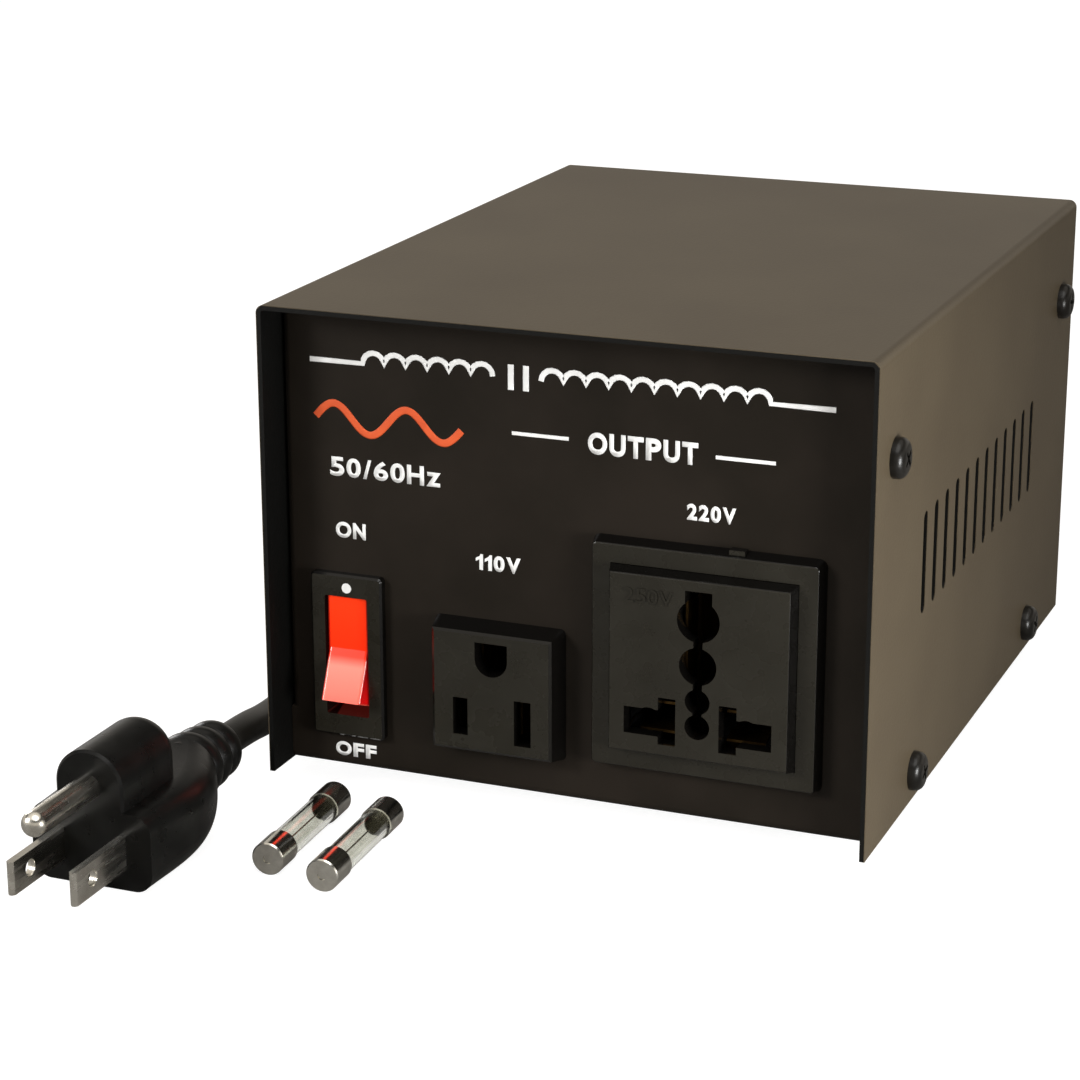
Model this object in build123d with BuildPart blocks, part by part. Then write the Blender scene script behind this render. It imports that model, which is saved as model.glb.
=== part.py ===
"""A bench step-up and step-down transformer in a vented sheet-steel case.

Millimetres, Z up. The origin lies on the table under the middle of the case.
The sockets face -Y, and the cord and the fuse holder are at +Y.
"""

import math
import os

from build123d import *

os.makedirs("parts", exist_ok=True)

# Case
case_width = 120.0
case_depth = 156.0
cover_height = 93.0
sheet = 1.0
bend_radius = 1.6
cover_drop = 0.0
recess = 8.0
slip = 0.1
panel_drop = 0.5
flange_leg = 12.0
floor_leg = 10.0
relief = 1.0

# Vents in each side wall
vent_count = 12
vent_pitch = 7.8
vent_width = 3.0
vent_length = 20.0

# Cover screws, counted from the case's ends and the chassis floor
upper_screw_inset = 11.5
upper_screw_height = 73.0
lower_screw_inset = 32.0
lower_screw_height = 6.0
screw_head = 7.6
screw_head_height = 2.5
screw_shank = 3.9
screw_length = 7.0
screw_room = 0.1

# Feet
foot_height = 5.0
foot_top = 16.0
foot_bottom = 13.5
foot_spacing_x = 84.0
foot_spacing_y = 84.0
foot_screw_shank = 3.0
foot_screw_head = 5.6
foot_screw_length = 8.0
foot_recess = 2.8
foot_edge = 0.8
nut_across = 5.5
nut_height = 2.4

# Rocker switch
switch_x = -45.8
switch_z = 28.4
switch_bezel = (15.0, 33.0)
switch_bezel_height = 1.8
switch_body = (11.4, 27.6)
switch_body_depth = 19.0
switch_window = (9.0, 24.2)
rocker_gap = 0.35
rocker_tilt = 12.0
rocker_wall = 1.3
rocker_edge = 0.6
rocker_pivot_depth = 5.2
rocker_valley = 6.4
rocker_stub = 3.0
rocker_stub_room = 0.05
lamp_diameter = 3.6
lamp_length = 9.0
tab_width = 4.8
tab_thickness = 0.8
tab_length = 8.0

# Three-pin outlet
outlet_x = -14.4
outlet_z = 25.9
outlet_base = (26.7, 26.4)
outlet_rise = 4.8
outlet_taper = 15.0
outlet_body = (24.0, 23.4)
outlet_depth = 20.0
outlet_front_wall = 3.4
outlet_back_thickness = 2.0
blade_pitch = 12.7
blade_line_drop = 5.1
earth_rise = 11.9
line_slot = (3.0, 7.4)
neutral_slot = (3.4, 9.0)
earth_hole = (6.6, 6.6)

# Square multi-standard outlet
square_x = 26.85
square_z = 36.3
square_frame = 45.0
square_frame_rise = 2.8
square_frame_taper = 16.0
square_insert = 36.0
square_insert_rise = 5.5
square_insert_taper = 14.5
square_insert_gap = 0.1
square_body = 40.0
square_depth = 24.0
square_plate = 3.0
square_wall = 1.6

# Cut-outs are this much larger than what they hold, on each side
cutout_room = 0.3

# Transformer
lamination_width = 76.2
lamination_height = 63.5
core_leg = 25.4
stack = 38.0
winding_height_room = 0.5
bobbin_wall = 1.2
primary_build = 5.0
secondary_build = 4.0
tape_build = 0.4
strap_thickness = 1.2
strap_bend = 2.0
strap_width = 30.0
strap_foot = 11.0
transformer_y = 14.0
transformer_bolt = 3.9
transformer_bolt_length = 9.0
bolt_head = 7.0
bolt_head_height = 2.4
bolt_nut_across = 7.0
bolt_nut_height = 3.2

# Earth terminal on the chassis floor
earth_place = (-18.0, 58.0)
lug_thickness = 0.8
lug_ring = 8.0
lug_tongue = (3.2, 9.0)

# Fuse and its holder
fuse_diameter = 6.35
fuse_length = 31.75
fuse_cap_length = 6.4
fuse_cap_wall = 0.3
fuse_cap_end = 0.5
fuse_glass_wall = 0.6
fuse_wire = 0.35
holder_x = 47.5
holder_z = 58.0
holder_flange = 18.0
holder_flange_height = 2.0
holder_barrel = 13.0
holder_bore = 9.6
holder_inner_bore = 7.4
holder_depth = 42.0
holder_nut_across = 17.0
holder_nut_height = 3.0
fuse_cap_knob = 14.0
fuse_cap_height = 7.5
fuse_sleeve = 9.0
fuse_sleeve_depth = 10.0

# Voltage selector
selector_x = -8.0
selector_z = 74.0
selector_body = (22.0, 11.0)
selector_depth = 10.0
selector_plate = (34.0, 11.0)
selector_plate_thickness = 0.8
selector_window = (14.6, 6.8)
selector_wall = 1.2
selector_knob = (8.6, 6.2)
selector_travel = 5.6
selector_screw_pitch = 28.0
selector_screw = 2.9
selector_screw_head = 5.4

# Cord
cord_diameter = 6.5
bushing_inset = 15.0
bushing_z = 16.0
bushing_flange = 15.0
bushing_flange_height = 2.5
bushing_neck = 11.0
bushing_tail = 20.0
bushing_tip = 8.4
bushing_rings = 5
bushing_room = 0.02
coil_turns = 3.75
coil_radius = 36.0
coil_pitch = 7.2
coil_layer = 7.2
drop_turns = 0.75
lead_behind = 20.25

# Plug, in front of the case's left wall
plug_before = 51.0
plug_outside = 10.0
plug_width = 26.0
plug_height = 15.4
plug_length = 35.0
plug_blade_line = 7.6
plug_cord_z = 9.5
plug_blade = (6.35, 1.5, 17.5)
plug_blade_hole = (3.2, 11.7)
plug_pin_diameter = 4.75
plug_pin_root = 4.2
plug_pin_length = 20.5
plug_seat = 8.0
plug_cord_seat = 8.0
plug_hump = 13.8
plug_hump_length = 22.0
plug_relief_length = 14.0
plug_relief_start = 12.6
plug_relief_end = 9.8
plug_rings = 3

# Spare fuses on the table in front: in from the left wall, and before the case
spare_places = ((16.5, 19.0), (29.0, 22.0))
spare_turn = 2.5

# Places worked out from the sizes above
floor_z = foot_height
cover_low = floor_z - cover_drop
cover_top = cover_low + cover_height
panel_y = recess - case_depth / 2
rear_y = -panel_y
inner_half = case_width / 2 - sheet - slip
chassis_height = cover_top - sheet - panel_drop - floor_z
core_base = floor_z + sheet
upper_screw_y = case_depth / 2 - upper_screw_inset
lower_screw_y = case_depth / 2 - lower_screw_inset
left_wall = -case_width / 2
bushing_x = left_wall + bushing_inset
plug_x = left_wall - plug_outside
plug_face_y = -case_depth / 2 - plug_before
coil_growth = coil_pitch * coil_turns / 2
coil_outer = coil_radius + coil_growth / 2
coil_x = bushing_x + coil_outer
lead_y = case_depth / 2 + lead_behind
coil_y = lead_y + coil_outer
screw_places = [
    (side * case_width / 2, end * y, floor_z + height, side)
    for side in (-1, 1)
    for end in (-1, 1)
    for y, height in ((upper_screw_y, upper_screw_height), (lower_screw_y, lower_screw_height))
]


def front_plane(out):
    """The front panel's plane, moved out towards the user. X is X and Y is Z."""
    return Plane.XZ.offset(out - panel_y)


def rear_plane(out):
    """The rear panel's plane, moved out behind the case. X is X and Y is Z."""
    return Plane.XZ.offset(-rear_y - out)


def channel_section(width, leg, gauge, radius):
    """A sheet bent into a channel: its web lies along X and its legs point to +Y."""
    with BuildSketch() as section:
        with BuildLine():
            Polyline(
                (-width / 2, leg),
                (-width / 2, 0),
                (width / 2, 0),
                (width / 2, leg),
                (width / 2 - gauge, leg),
                (width / 2 - gauge, gauge),
                (gauge - width / 2, gauge),
                (gauge - width / 2, leg),
                close=True,
            )
        make_face()
        fillet(section.vertices().group_by(Axis.Y)[0], radius)
        fillet(section.vertices().filter_by_position(Axis.Y, gauge - 0.01, gauge + 0.01), radius - gauge)
    return section.sketch


def pan_screw(head, head_height, shank, length):
    """A pan head screw whose head sits on Z = 0 and whose shank points to -Z."""
    with BuildPart() as screw:
        with BuildSketch(Plane.XZ):
            with BuildLine():
                Polyline(
                    (0, head_height),
                    (0, -length),
                    (shank / 2, -length),
                    (shank / 2, 0),
                    (head / 2, 0),
                    (head / 2, 0.4 * head_height),
                    (0.32 * head, head_height),
                    close=True,
                )
            make_face()
        revolve(axis=Axis.Z)
    return screw.part


def hex_nut(across, height, bore):
    """A hexagon nut that stands on Z = 0."""
    with BuildPart() as nut:
        with BuildSketch():
            RegularPolygon(across / 2, 6, major_radius=False)
            Circle(bore / 2, mode=Mode.SUBTRACT)
        extrude(amount=height)
    return nut.part


def finish(builder, name):
    """Labels a finished piece and writes its file."""
    builder.part.label = name
    export_step(builder.part, f"parts/{name}.step")


# Cover: a top and two side walls bent from one sheet, open at both ends
cover_section = channel_section(case_width, cover_height, sheet, bend_radius)
vent_z = cover_low + cover_height / 2
with BuildPart() as cover:
    with BuildSketch(Plane.XZ.offset(case_depth / 2)):
        with Locations((0, cover_top)):
            add(cover_section, rotation=180)
    extrude(amount=-case_depth)
    with BuildSketch(Plane.YZ):
        with Locations((0, vent_z)):
            with GridLocations(vent_pitch, 1, vent_count, 1):
                SlotOverall(vent_length, vent_width, rotation=90)
        with Locations(*[(y, z) for x, y, z, side in screw_places if side > 0]):
            Circle(screw_shank / 2 + screw_room)
    extrude(amount=case_width, both=True, mode=Mode.SUBTRACT)
finish(cover, "cover")

# Chassis: floor, front panel and rear panel bent from one sheet, with flanges
# that the cover's walls are screwed to
tray_section = channel_section(2 * rear_y, chassis_height, sheet, bend_radius)
panel_section = channel_section(2 * inner_half, flange_leg, sheet, bend_radius)
floor_section = channel_section(2 * inner_half, floor_leg, sheet, bend_radius)
flange_low = floor_z + floor_leg + relief
flange_high = floor_z + chassis_height
transformer_bolt_x = lamination_width / 2 + strap_thickness + strap_foot / 2
with BuildPart() as chassis:
    with BuildSketch(Plane.YZ):
        with Locations((0, floor_z)):
            add(tray_section)
    extrude(amount=inner_half, both=True)
    with BuildSketch(Plane.XZ):
        with GridLocations(2 * inner_half, 1, 2, 1):
            with Locations((0, (flange_low + flange_high) / 2)):
                Rectangle(2 * bend_radius, flange_high - flange_low + 0.02)
    extrude(amount=case_depth, both=True, mode=Mode.SUBTRACT)
    with BuildSketch(Plane.XY.offset(flange_low)):
        with Locations((0, panel_y)):
            add(panel_section)
        with Locations((0, rear_y)):
            add(panel_section, rotation=180)
    extrude(amount=flange_high - flange_low)
    with BuildSketch(Plane.XZ):
        with Locations((0, floor_z)):
            add(floor_section)
    extrude(amount=rear_y - bend_radius - relief, both=True)
    with BuildSketch(front_plane(1)):
        with Locations((switch_x, switch_z)):
            Rectangle(switch_body[0] + 2 * cutout_room, switch_body[1] + 2 * cutout_room)
        with Locations((outlet_x, outlet_z)):
            Rectangle(outlet_body[0] + 2 * cutout_room, outlet_body[1] + 2 * cutout_room)
        with Locations((square_x, square_z)):
            Rectangle(square_body + 2 * cutout_room, square_body + 2 * cutout_room)
    extrude(amount=-sheet - 2, mode=Mode.SUBTRACT)
    with BuildSketch(rear_plane(1)):
        with Locations((holder_x, holder_z)):
            Circle(holder_barrel / 2 + cutout_room / 2)
        with Locations((bushing_x, bushing_z)):
            Circle(bushing_neck / 2 + screw_room / 2)
        with Locations((selector_x, selector_z)):
            Rectangle(selector_window[0], selector_window[1])
            with GridLocations(selector_screw_pitch, 1, 2, 1):
                Circle(selector_screw / 2 + screw_room)
    extrude(amount=sheet + 2, mode=Mode.SUBTRACT)
    with BuildSketch(Plane.XY.offset(floor_z)):
        with GridLocations(foot_spacing_x, foot_spacing_y, 2, 2):
            Circle(foot_screw_shank / 2 + screw_room)
        with Locations((0, transformer_y)):
            with GridLocations(2 * transformer_bolt_x, 1, 2, 1):
                Circle(transformer_bolt / 2 + screw_room)
        with Locations(earth_place):
            Circle(transformer_bolt / 2 + screw_room)
    extrude(amount=sheet, mode=Mode.SUBTRACT)
    with BuildSketch(Plane.YZ):
        with Locations(*[(y, z) for x, y, z, side in screw_places if side > 0]):
            Circle(screw_shank / 2 + screw_room / 2)
    extrude(amount=case_width, both=True, mode=Mode.SUBTRACT)
finish(chassis, "chassis")

# Cover screws: four on each side
cover_screw = pan_screw(screw_head, screw_head_height, screw_shank, screw_length)
with BuildPart() as cover_screws:
    with Locations(*[Plane((x, y, z), z_dir=(side, 0, 0)) for x, y, z, side in screw_places]):
        add(cover_screw)
finish(cover_screws, "cover_screws")

# Feet: rubber bumpers with a recess for the screw's head
with BuildPart() as foot:
    with BuildSketch(Plane.XZ):
        with BuildLine():
            Polyline(
                (foot_screw_shank / 2 + screw_room, foot_height),
                (foot_top / 2, foot_height),
                (foot_bottom / 2, foot_edge),
                (foot_bottom / 2 - foot_edge, 0),
                (foot_screw_head / 2 + 0.4, 0),
                (foot_screw_head / 2 + 0.4, foot_recess),
                (foot_screw_shank / 2 + screw_room, foot_recess),
                close=True,
            )
        make_face()
    revolve(axis=Axis.Z)
with BuildPart() as feet:
    with GridLocations(foot_spacing_x, foot_spacing_y, 2, 2):
        add(foot.part)
finish(feet, "feet")

# Foot screws, from below, and their nuts on the chassis floor
foot_screw = pan_screw(foot_screw_head, 2.0, foot_screw_shank, foot_screw_length)
with BuildPart() as foot_screws:
    with GridLocations(foot_spacing_x, foot_spacing_y, 2, 2):
        with Locations(Location((0, 0, foot_recess), (180, 0, 0))):
            add(foot_screw)
finish(foot_screws, "foot_screws")

foot_nut = hex_nut(nut_across, nut_height, foot_screw_shank + 0.02)
with BuildPart() as foot_nuts:
    with Locations((0, 0, floor_z + sheet)):
        with GridLocations(foot_spacing_x, foot_spacing_y, 2, 2):
            add(foot_nut)
finish(foot_nuts, "foot_nuts")

# Rocker switch housing: a flat bezel with a window, a snap-in box behind it,
# and a bearing hole in each cheek for the rocker's stubs
pivot_y = panel_y + rocker_pivot_depth
pivot_axis_place = (pivot_y, switch_z)
lamp_back = switch_body_depth - 2.0
with BuildPart() as switch_housing:
    with BuildSketch(front_plane(0)):
        with Locations((switch_x, switch_z)):
            RectangleRounded(*switch_bezel, 0.8)
    extrude(amount=switch_bezel_height)
    chamfer(switch_housing.faces().sort_by(Axis.Y)[0].edges(), 0.4)
    with BuildSketch(front_plane(0)):
        with Locations((switch_x, switch_z)):
            Rectangle(*switch_body)
    extrude(amount=-switch_body_depth)
    with BuildSketch(front_plane(switch_bezel_height)):
        with Locations((switch_x, switch_z)):
            RectangleRounded(*switch_window, 0.5)
    extrude(amount=-switch_bezel_height - switch_body_depth + 2.0, mode=Mode.SUBTRACT)
    with BuildSketch(Plane.YZ.offset(switch_x)):
        with Locations(pivot_axis_place):
            Circle(rocker_stub / 2 + rocker_stub_room)
    extrude(amount=switch_body[0], both=True, mode=Mode.SUBTRACT)
    with BuildSketch(front_plane(-switch_body_depth)):
        with Locations((switch_x, switch_z)):
            with GridLocations(1, 8.0, 1, 3):
                Rectangle(tab_width + 0.1, tab_thickness + 0.1)
    extrude(amount=2.0, mode=Mode.SUBTRACT)
    with BuildSketch(Plane.YZ.offset(switch_x)):
        for end in (-1, 1):
            wing_root = switch_z + end * switch_body[1] / 2
            with BuildLine():
                Polyline(
                    (panel_y + sheet + 0.1, wing_root),
                    (panel_y + sheet + 0.1, wing_root + end * 1.1),
                    (panel_y + sheet + 6.0, wing_root),
                    close=True,
                )
            make_face()
    extrude(amount=3.0, both=True)
finish(switch_housing, "switch_housing")

# Rocker: two faces that meet in a shallow valley, hollow behind, on two stubs.
# It is drawn level and placed by a plane tilted about its pivot, top pressed in
half_length = switch_window[1] / 2 - rocker_gap
tilt = math.radians(rocker_tilt)
rest_plane = Plane(
    origin=(switch_x, pivot_y, switch_z),
    x_dir=(0, -math.cos(tilt), math.sin(tilt)),
    z_dir=(-1, 0, 0),
)
tip = (
    rocker_valley * math.cos(tilt) ** 2 + half_length * math.sin(tilt),
    half_length * math.cos(tilt) - rocker_valley * math.sin(tilt) * math.cos(tilt),
)
skirt_radius = half_length - 0.05
skirt_angle = math.radians(52.0)
skirt_end = (-skirt_radius * math.sin(skirt_angle / 2), skirt_radius * math.cos(skirt_angle / 2))
rocker_width = switch_window[0] - 2 * rocker_gap
with BuildPart() as rocker:
    with BuildSketch(rest_plane):
        with BuildLine():
            Line((rocker_valley, 0), tip)
            Line(tip, (0, skirt_radius))
            ThreePointArc(
                (0, skirt_radius),
                (-skirt_radius * math.sin(skirt_angle / 4), skirt_radius * math.cos(skirt_angle / 4)),
                skirt_end,
            )
            Line(skirt_end, (skirt_end[0], 0))
            mirror(about=Plane.XZ)
        make_face()
    extrude(amount=rocker_width / 2, both=True)
    rocker_fronts = rocker.faces().sort_by(Axis.Y)[:2]
    fillet(rocker_fronts.edges().filter_by(Axis.X, reverse=True), rocker_edge)
    with BuildSketch(rest_plane):
        with BuildLine():
            Polyline(
                (rocker_valley - rocker_wall, 0),
                (tip[0] - rocker_wall - 0.4, tip[1] - rocker_wall),
                (0, skirt_radius - rocker_wall),
                (skirt_end[0] - 1, skirt_end[1] - rocker_wall + 0.4),
                (skirt_end[0] - 1, 0),
            )
            mirror(about=Plane.XZ)
        make_face()
    extrude(amount=rocker_width / 2 - rocker_wall, both=True, mode=Mode.SUBTRACT)
    with BuildSketch(rest_plane):
        Circle(rocker_stub / 2)
    extrude(amount=switch_body[0] / 2 - 0.1, both=True)
    with BuildSketch(rest_plane):
        Circle(rocker_stub / 2)
    extrude(amount=rocker_width / 2 - rocker_wall, both=True, mode=Mode.SUBTRACT)
finish(rocker, "rocker")

# Neon lamp under the rocker, on two wires that stand on the housing's back wall
with BuildPart() as switch_lamp:
    with BuildSketch(Plane.XY.offset(switch_z - lamp_length / 2)):
        with Locations((switch_x, panel_y + 9.0)):
            Circle(lamp_diameter / 2)
    extrude(amount=lamp_length)
    chamfer(switch_lamp.edges().filter_by(GeomType.CIRCLE), 1.0)
    with BuildSketch(front_plane(-lamp_back)):
        with Locations((switch_x, switch_z)):
            with GridLocations(1, 5.0, 1, 2):
                Circle(0.35)
    extrude(amount=lamp_back - 9.0)
finish(switch_lamp, "switch_lamp")

# Three tabs at the back of the switch
with BuildPart() as switch_tabs:
    with BuildSketch(front_plane(-lamp_back)):
        with Locations((switch_x, switch_z)):
            with GridLocations(1, 8.0, 1, 3):
                Rectangle(tab_width, tab_thickness)
    extrude(amount=-2.0 - tab_length)
finish(switch_tabs, "switch_tabs")

# Three-pin outlet: a tapered face in front of a snap-in box with three pockets
blade_z = outlet_z - blade_line_drop
earth_z = blade_z + earth_rise
blade_x = (outlet_x - blade_pitch / 2, outlet_x + blade_pitch / 2)
pocket_front = outlet_rise - outlet_front_wall
blade_pocket = (6.0, 11.0)
earth_pocket = (8.6, 7.4)
with BuildPart() as outlet_body_part:
    with BuildSketch(front_plane(0)):
        with Locations((outlet_x, outlet_z)):
            RectangleRounded(*outlet_base, 1.2)
    extrude(amount=outlet_rise, taper=outlet_taper)
    chamfer(outlet_body_part.faces().sort_by(Axis.Y)[0].edges(), 0.4)
    with BuildSketch(front_plane(0)):
        with Locations((outlet_x, outlet_z)):
            Rectangle(*outlet_body)
    extrude(amount=-outlet_depth)
    with BuildSketch(front_plane(outlet_rise)):
        with Locations((blade_x[0], blade_z)):
            Rectangle(*line_slot)
        with Locations((blade_x[1], blade_z)):
            Rectangle(*neutral_slot)
        with Locations((outlet_x, earth_z)):
            Circle(earth_hole[0] / 2)
        with Locations((outlet_x, earth_z + (earth_hole[1] - earth_hole[0] / 2) / 2)):
            Rectangle(earth_hole[0], earth_hole[1] - earth_hole[0] / 2)
    extrude(amount=-outlet_front_wall, mode=Mode.SUBTRACT)
    with BuildSketch(front_plane(pocket_front)):
        with Locations((blade_x[0], blade_z), (blade_x[1], blade_z)):
            Rectangle(*blade_pocket)
        with Locations((outlet_x, earth_z)):
            Rectangle(*earth_pocket)
    extrude(amount=-outlet_depth - pocket_front, mode=Mode.SUBTRACT)
finish(outlet_body_part, "outlet_body")

# Back cover of the three-pin outlet, with a slot for each tail
tail_length = 8.0
clip_leaf = 0.5
with BuildPart() as outlet_back:
    with BuildSketch(front_plane(-outlet_depth)):
        with Locations((outlet_x, outlet_z)):
            RectangleRounded(*outlet_body, 0.8)
        with Locations((blade_x[0], blade_z), (blade_x[1], blade_z), (outlet_x, earth_z)):
            Rectangle(tab_thickness + 0.1, tab_width + 0.1, mode=Mode.SUBTRACT)
    extrude(amount=-outlet_back_thickness)
finish(outlet_back, "outlet_back")


def socket_clip(half_gap, depth, width, tail, slit=None):
    """Two sprung leaves that open towards -Y, with a tail behind.

    The mouth is at Y = 0 and the leaves are spread along X. A slit, given as
    its place along the width and its size, lets a crosswise blade in.
    """
    with BuildPart() as clip:
        with BuildSketch(Plane.XY.offset(-width / 2)):
            with BuildLine():
                Polyline(
                    (0, depth - clip_leaf),
                    (half_gap + 0.4, depth - clip_leaf),
                    (half_gap + 0.4, 6.0),
                    (half_gap, 3.0),
                    (half_gap + 0.9, 0),
                    (half_gap + 0.9 + clip_leaf, 0),
                    (half_gap + clip_leaf, 3.0),
                    (half_gap + 0.4 + clip_leaf, 6.0),
                    (half_gap + 0.4 + clip_leaf, depth),
                    (0, depth),
                )
                mirror(about=Plane.YZ)
            make_face()
        extrude(amount=width)
        if slit:
            with BuildSketch(Plane.YZ):
                with Locations((0, slit[0])):
                    Rectangle(2 * depth - 4, slit[1])
            extrude(amount=2 * half_gap + 4, both=True, mode=Mode.SUBTRACT)
        with BuildSketch(Plane.XZ.offset(-depth)):
            Rectangle(tab_thickness, tab_width)
        extrude(amount=-tail)
    return clip.part


# Brass clips of the three-pin outlet: one for each blade and one for the round pin
clip_front_y = panel_y - pocket_front + 0.4
clip_depth = panel_y + outlet_depth - clip_front_y
outlet_tail = outlet_back_thickness + tail_length
blade_clip = socket_clip(0.6, clip_depth, 7.0, outlet_tail)
for clip_name, clip_x in (("outlet_line_clip", blade_x[0]), ("outlet_neutral_clip", blade_x[1])):
    with BuildPart() as outlet_clip:
        with Locations((clip_x, clip_front_y, blade_z)):
            add(blade_clip)
    finish(outlet_clip, clip_name)
earth_clip = socket_clip(2.2, clip_depth, 6.5, outlet_tail)
with BuildPart() as outlet_earth_clip:
    with Locations((outlet_x, clip_front_y, earth_z)):
        add(earth_clip)
finish(outlet_earth_clip, "outlet_earth_clip")

# Square outlet, frame: a tapered border with a skirt through the panel
skirt_depth = 4.0
frame_rib = (3.0, 1.2, 2.0)
frame_rib_place = (6.0, square_frame / 2 - 0.3)
with BuildPart() as square_frame_part:
    with BuildSketch(front_plane(0)):
        with Locations((square_x, square_z)):
            RectangleRounded(square_frame, square_frame, 1.6)
    extrude(amount=square_frame_rise, taper=square_frame_taper)
    fillet(square_frame_part.faces().sort_by(Axis.Y)[0].edges(), 0.4)
    with BuildSketch(front_plane(0)):
        with Locations((square_x + frame_rib_place[0], square_z + frame_rib_place[1])):
            Rectangle(frame_rib[0], frame_rib[1])
    extrude(amount=frame_rib[2])
    with BuildSketch(front_plane(0)):
        with Locations((square_x, square_z)):
            Rectangle(square_body, square_body)
    extrude(amount=-skirt_depth)
    with BuildSketch(front_plane(square_frame_rise)):
        with Locations((square_x, square_z)):
            Rectangle(square_insert + 2 * square_insert_gap, square_insert + 2 * square_insert_gap)
    extrude(amount=-square_frame_rise - skirt_depth, mode=Mode.SUBTRACT)
finish(square_frame_part, "square_outlet_frame")

# Square outlet, face: a raised plate with the earth hole as a row of joined
# circles, and below it a stepped hole for each live pin
round_holes = ((9.7, 8.2), (0.95, 7.2), (-5.9, 4.8), (-10.85, 4.8))
top_slot = (5.2, 5.6, 12.5)
neck = (1.8, 19.0)
pin_pitch = 9.5
pin_row = -10.9
pin_hole = 5.4
flat_slot = (7.4, 5.2, 10.6, -11.1)
upright_slot = (3.4, 9.2, 5.9, -10.6)
wedge = ((7.0, -8.6), (14.2, -8.6), (14.2, -8.4), (7.0, -7.1))
with BuildPart() as square_face_part:
    with BuildSketch(front_plane(-skirt_depth)):
        with Locations((square_x, square_z)):
            Rectangle(square_insert, square_insert)
    extrude(amount=skirt_depth + square_frame_rise)
    with BuildSketch(front_plane(square_frame_rise)):
        with Locations((square_x, square_z)):
            Rectangle(square_insert, square_insert)
    extrude(amount=square_insert_rise - square_frame_rise, taper=square_insert_taper)
    fillet(square_face_part.faces().sort_by(Axis.Y)[0].edges(), 0.35)
    with BuildSketch(front_plane(-skirt_depth)):
        with Locations((square_x, square_z)):
            Rectangle(square_insert - 2 * square_wall, square_insert - 2 * square_wall)
    extrude(amount=skirt_depth + square_insert_rise - square_plate, mode=Mode.SUBTRACT)
    with BuildSketch(front_plane(square_insert_rise)):
        for rise, size in round_holes:
            with Locations((square_x, square_z + rise)):
                Circle(size / 2)
        with Locations((square_x, square_z + top_slot[2])):
            Rectangle(top_slot[0], top_slot[1])
        with Locations((square_x, square_z)):
            Rectangle(*neck)
        for side in (-1, 1):
            with Locations((square_x + side * pin_pitch, square_z + pin_row)):
                Circle(pin_hole / 2)
            for width, height, away, rise in (flat_slot, upright_slot):
                with Locations((square_x + side * away, square_z + rise)):
                    Rectangle(width, height)
            with Locations((square_x, square_z)):
                with BuildLine():
                    Polyline(*((side * away, rise) for away, rise in wedge), close=True)
                make_face()
    extrude(amount=-square_plate, mode=Mode.SUBTRACT)
finish(square_face_part, "square_outlet_face")

# Square outlet, housing: a box behind the panel that the clips stand in
housing_floor = 2.0
square_clip_y = panel_y - square_insert_rise + square_plate + 0.4
square_clip_depth = panel_y + square_depth - housing_floor - square_clip_y
square_clips = (
    ("square_outlet_earth_clip", 0, 0.6, 2.2, 24.0, 0, None),
    ("square_outlet_line_clip", -9.6, pin_row, 1.7, 9.8, 90, (-3.7, 2.2)),
    ("square_outlet_neutral_clip", 9.6, pin_row, 1.7, 9.8, 90, (3.7, 2.2)),
)
with BuildPart() as square_housing:
    with BuildSketch(front_plane(-skirt_depth)):
        with Locations((square_x, square_z)):
            Rectangle(square_body, square_body)
    extrude(amount=skirt_depth - square_depth)
    with BuildSketch(front_plane(-skirt_depth)):
        with Locations((square_x, square_z)):
            Rectangle(square_body - 2 * square_wall, square_body - 2 * square_wall)
    extrude(amount=skirt_depth - square_depth + housing_floor, mode=Mode.SUBTRACT)
    with BuildSketch(front_plane(-square_depth)):
        for clip_name, clip_x, clip_z, half_gap, width, turn, slit in square_clips:
            with Locations((square_x + clip_x, square_z + clip_z)):
                Rectangle(tab_thickness + 0.1, tab_width + 0.1, rotation=turn)
    extrude(amount=housing_floor, mode=Mode.SUBTRACT)
finish(square_housing, "square_outlet_housing")

for clip_name, clip_x, clip_z, half_gap, width, turn, slit in square_clips:
    square_clip = socket_clip(half_gap, square_clip_depth, width, housing_floor + tail_length, slit)
    with BuildPart() as placed_clip:
        with Locations(Location((square_x + clip_x, square_clip_y, square_z + clip_z), (0, turn, 0))):
            add(square_clip)
    finish(placed_clip, clip_name)

# Transformer core: E laminations with their legs up, and I laminations across them
yoke = core_leg / 2
window_width = (lamination_width - 2 * core_leg) / 2
window_height = lamination_height - core_leg
window_x = (core_leg + window_width) / 2
with BuildPart() as core_e_stack:
    with BuildSketch(Plane.XZ.offset(stack / 2 - transformer_y)):
        with Locations((0, core_base + (lamination_height - yoke) / 2)):
            Rectangle(lamination_width, lamination_height - yoke)
        with Locations((0, core_base + yoke + window_height / 2)):
            with GridLocations(2 * window_x, 1, 2, 1):
                Rectangle(window_width, window_height, mode=Mode.SUBTRACT)
    extrude(amount=-stack)
finish(core_e_stack, "core_e_stack")

with BuildPart() as core_i_stack:
    with BuildSketch(Plane.XZ.offset(stack / 2 - transformer_y)):
        with Locations((0, core_base + lamination_height - yoke / 2)):
            Rectangle(lamination_width, yoke)
    extrude(amount=-stack)
    top_corners = core_i_stack.faces().sort_by(Axis.Z)[-1].edges().filter_by(Axis.Y)
    chamfer(top_corners, strap_bend - strap_thickness)
finish(core_i_stack, "core_i_stack")

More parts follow.
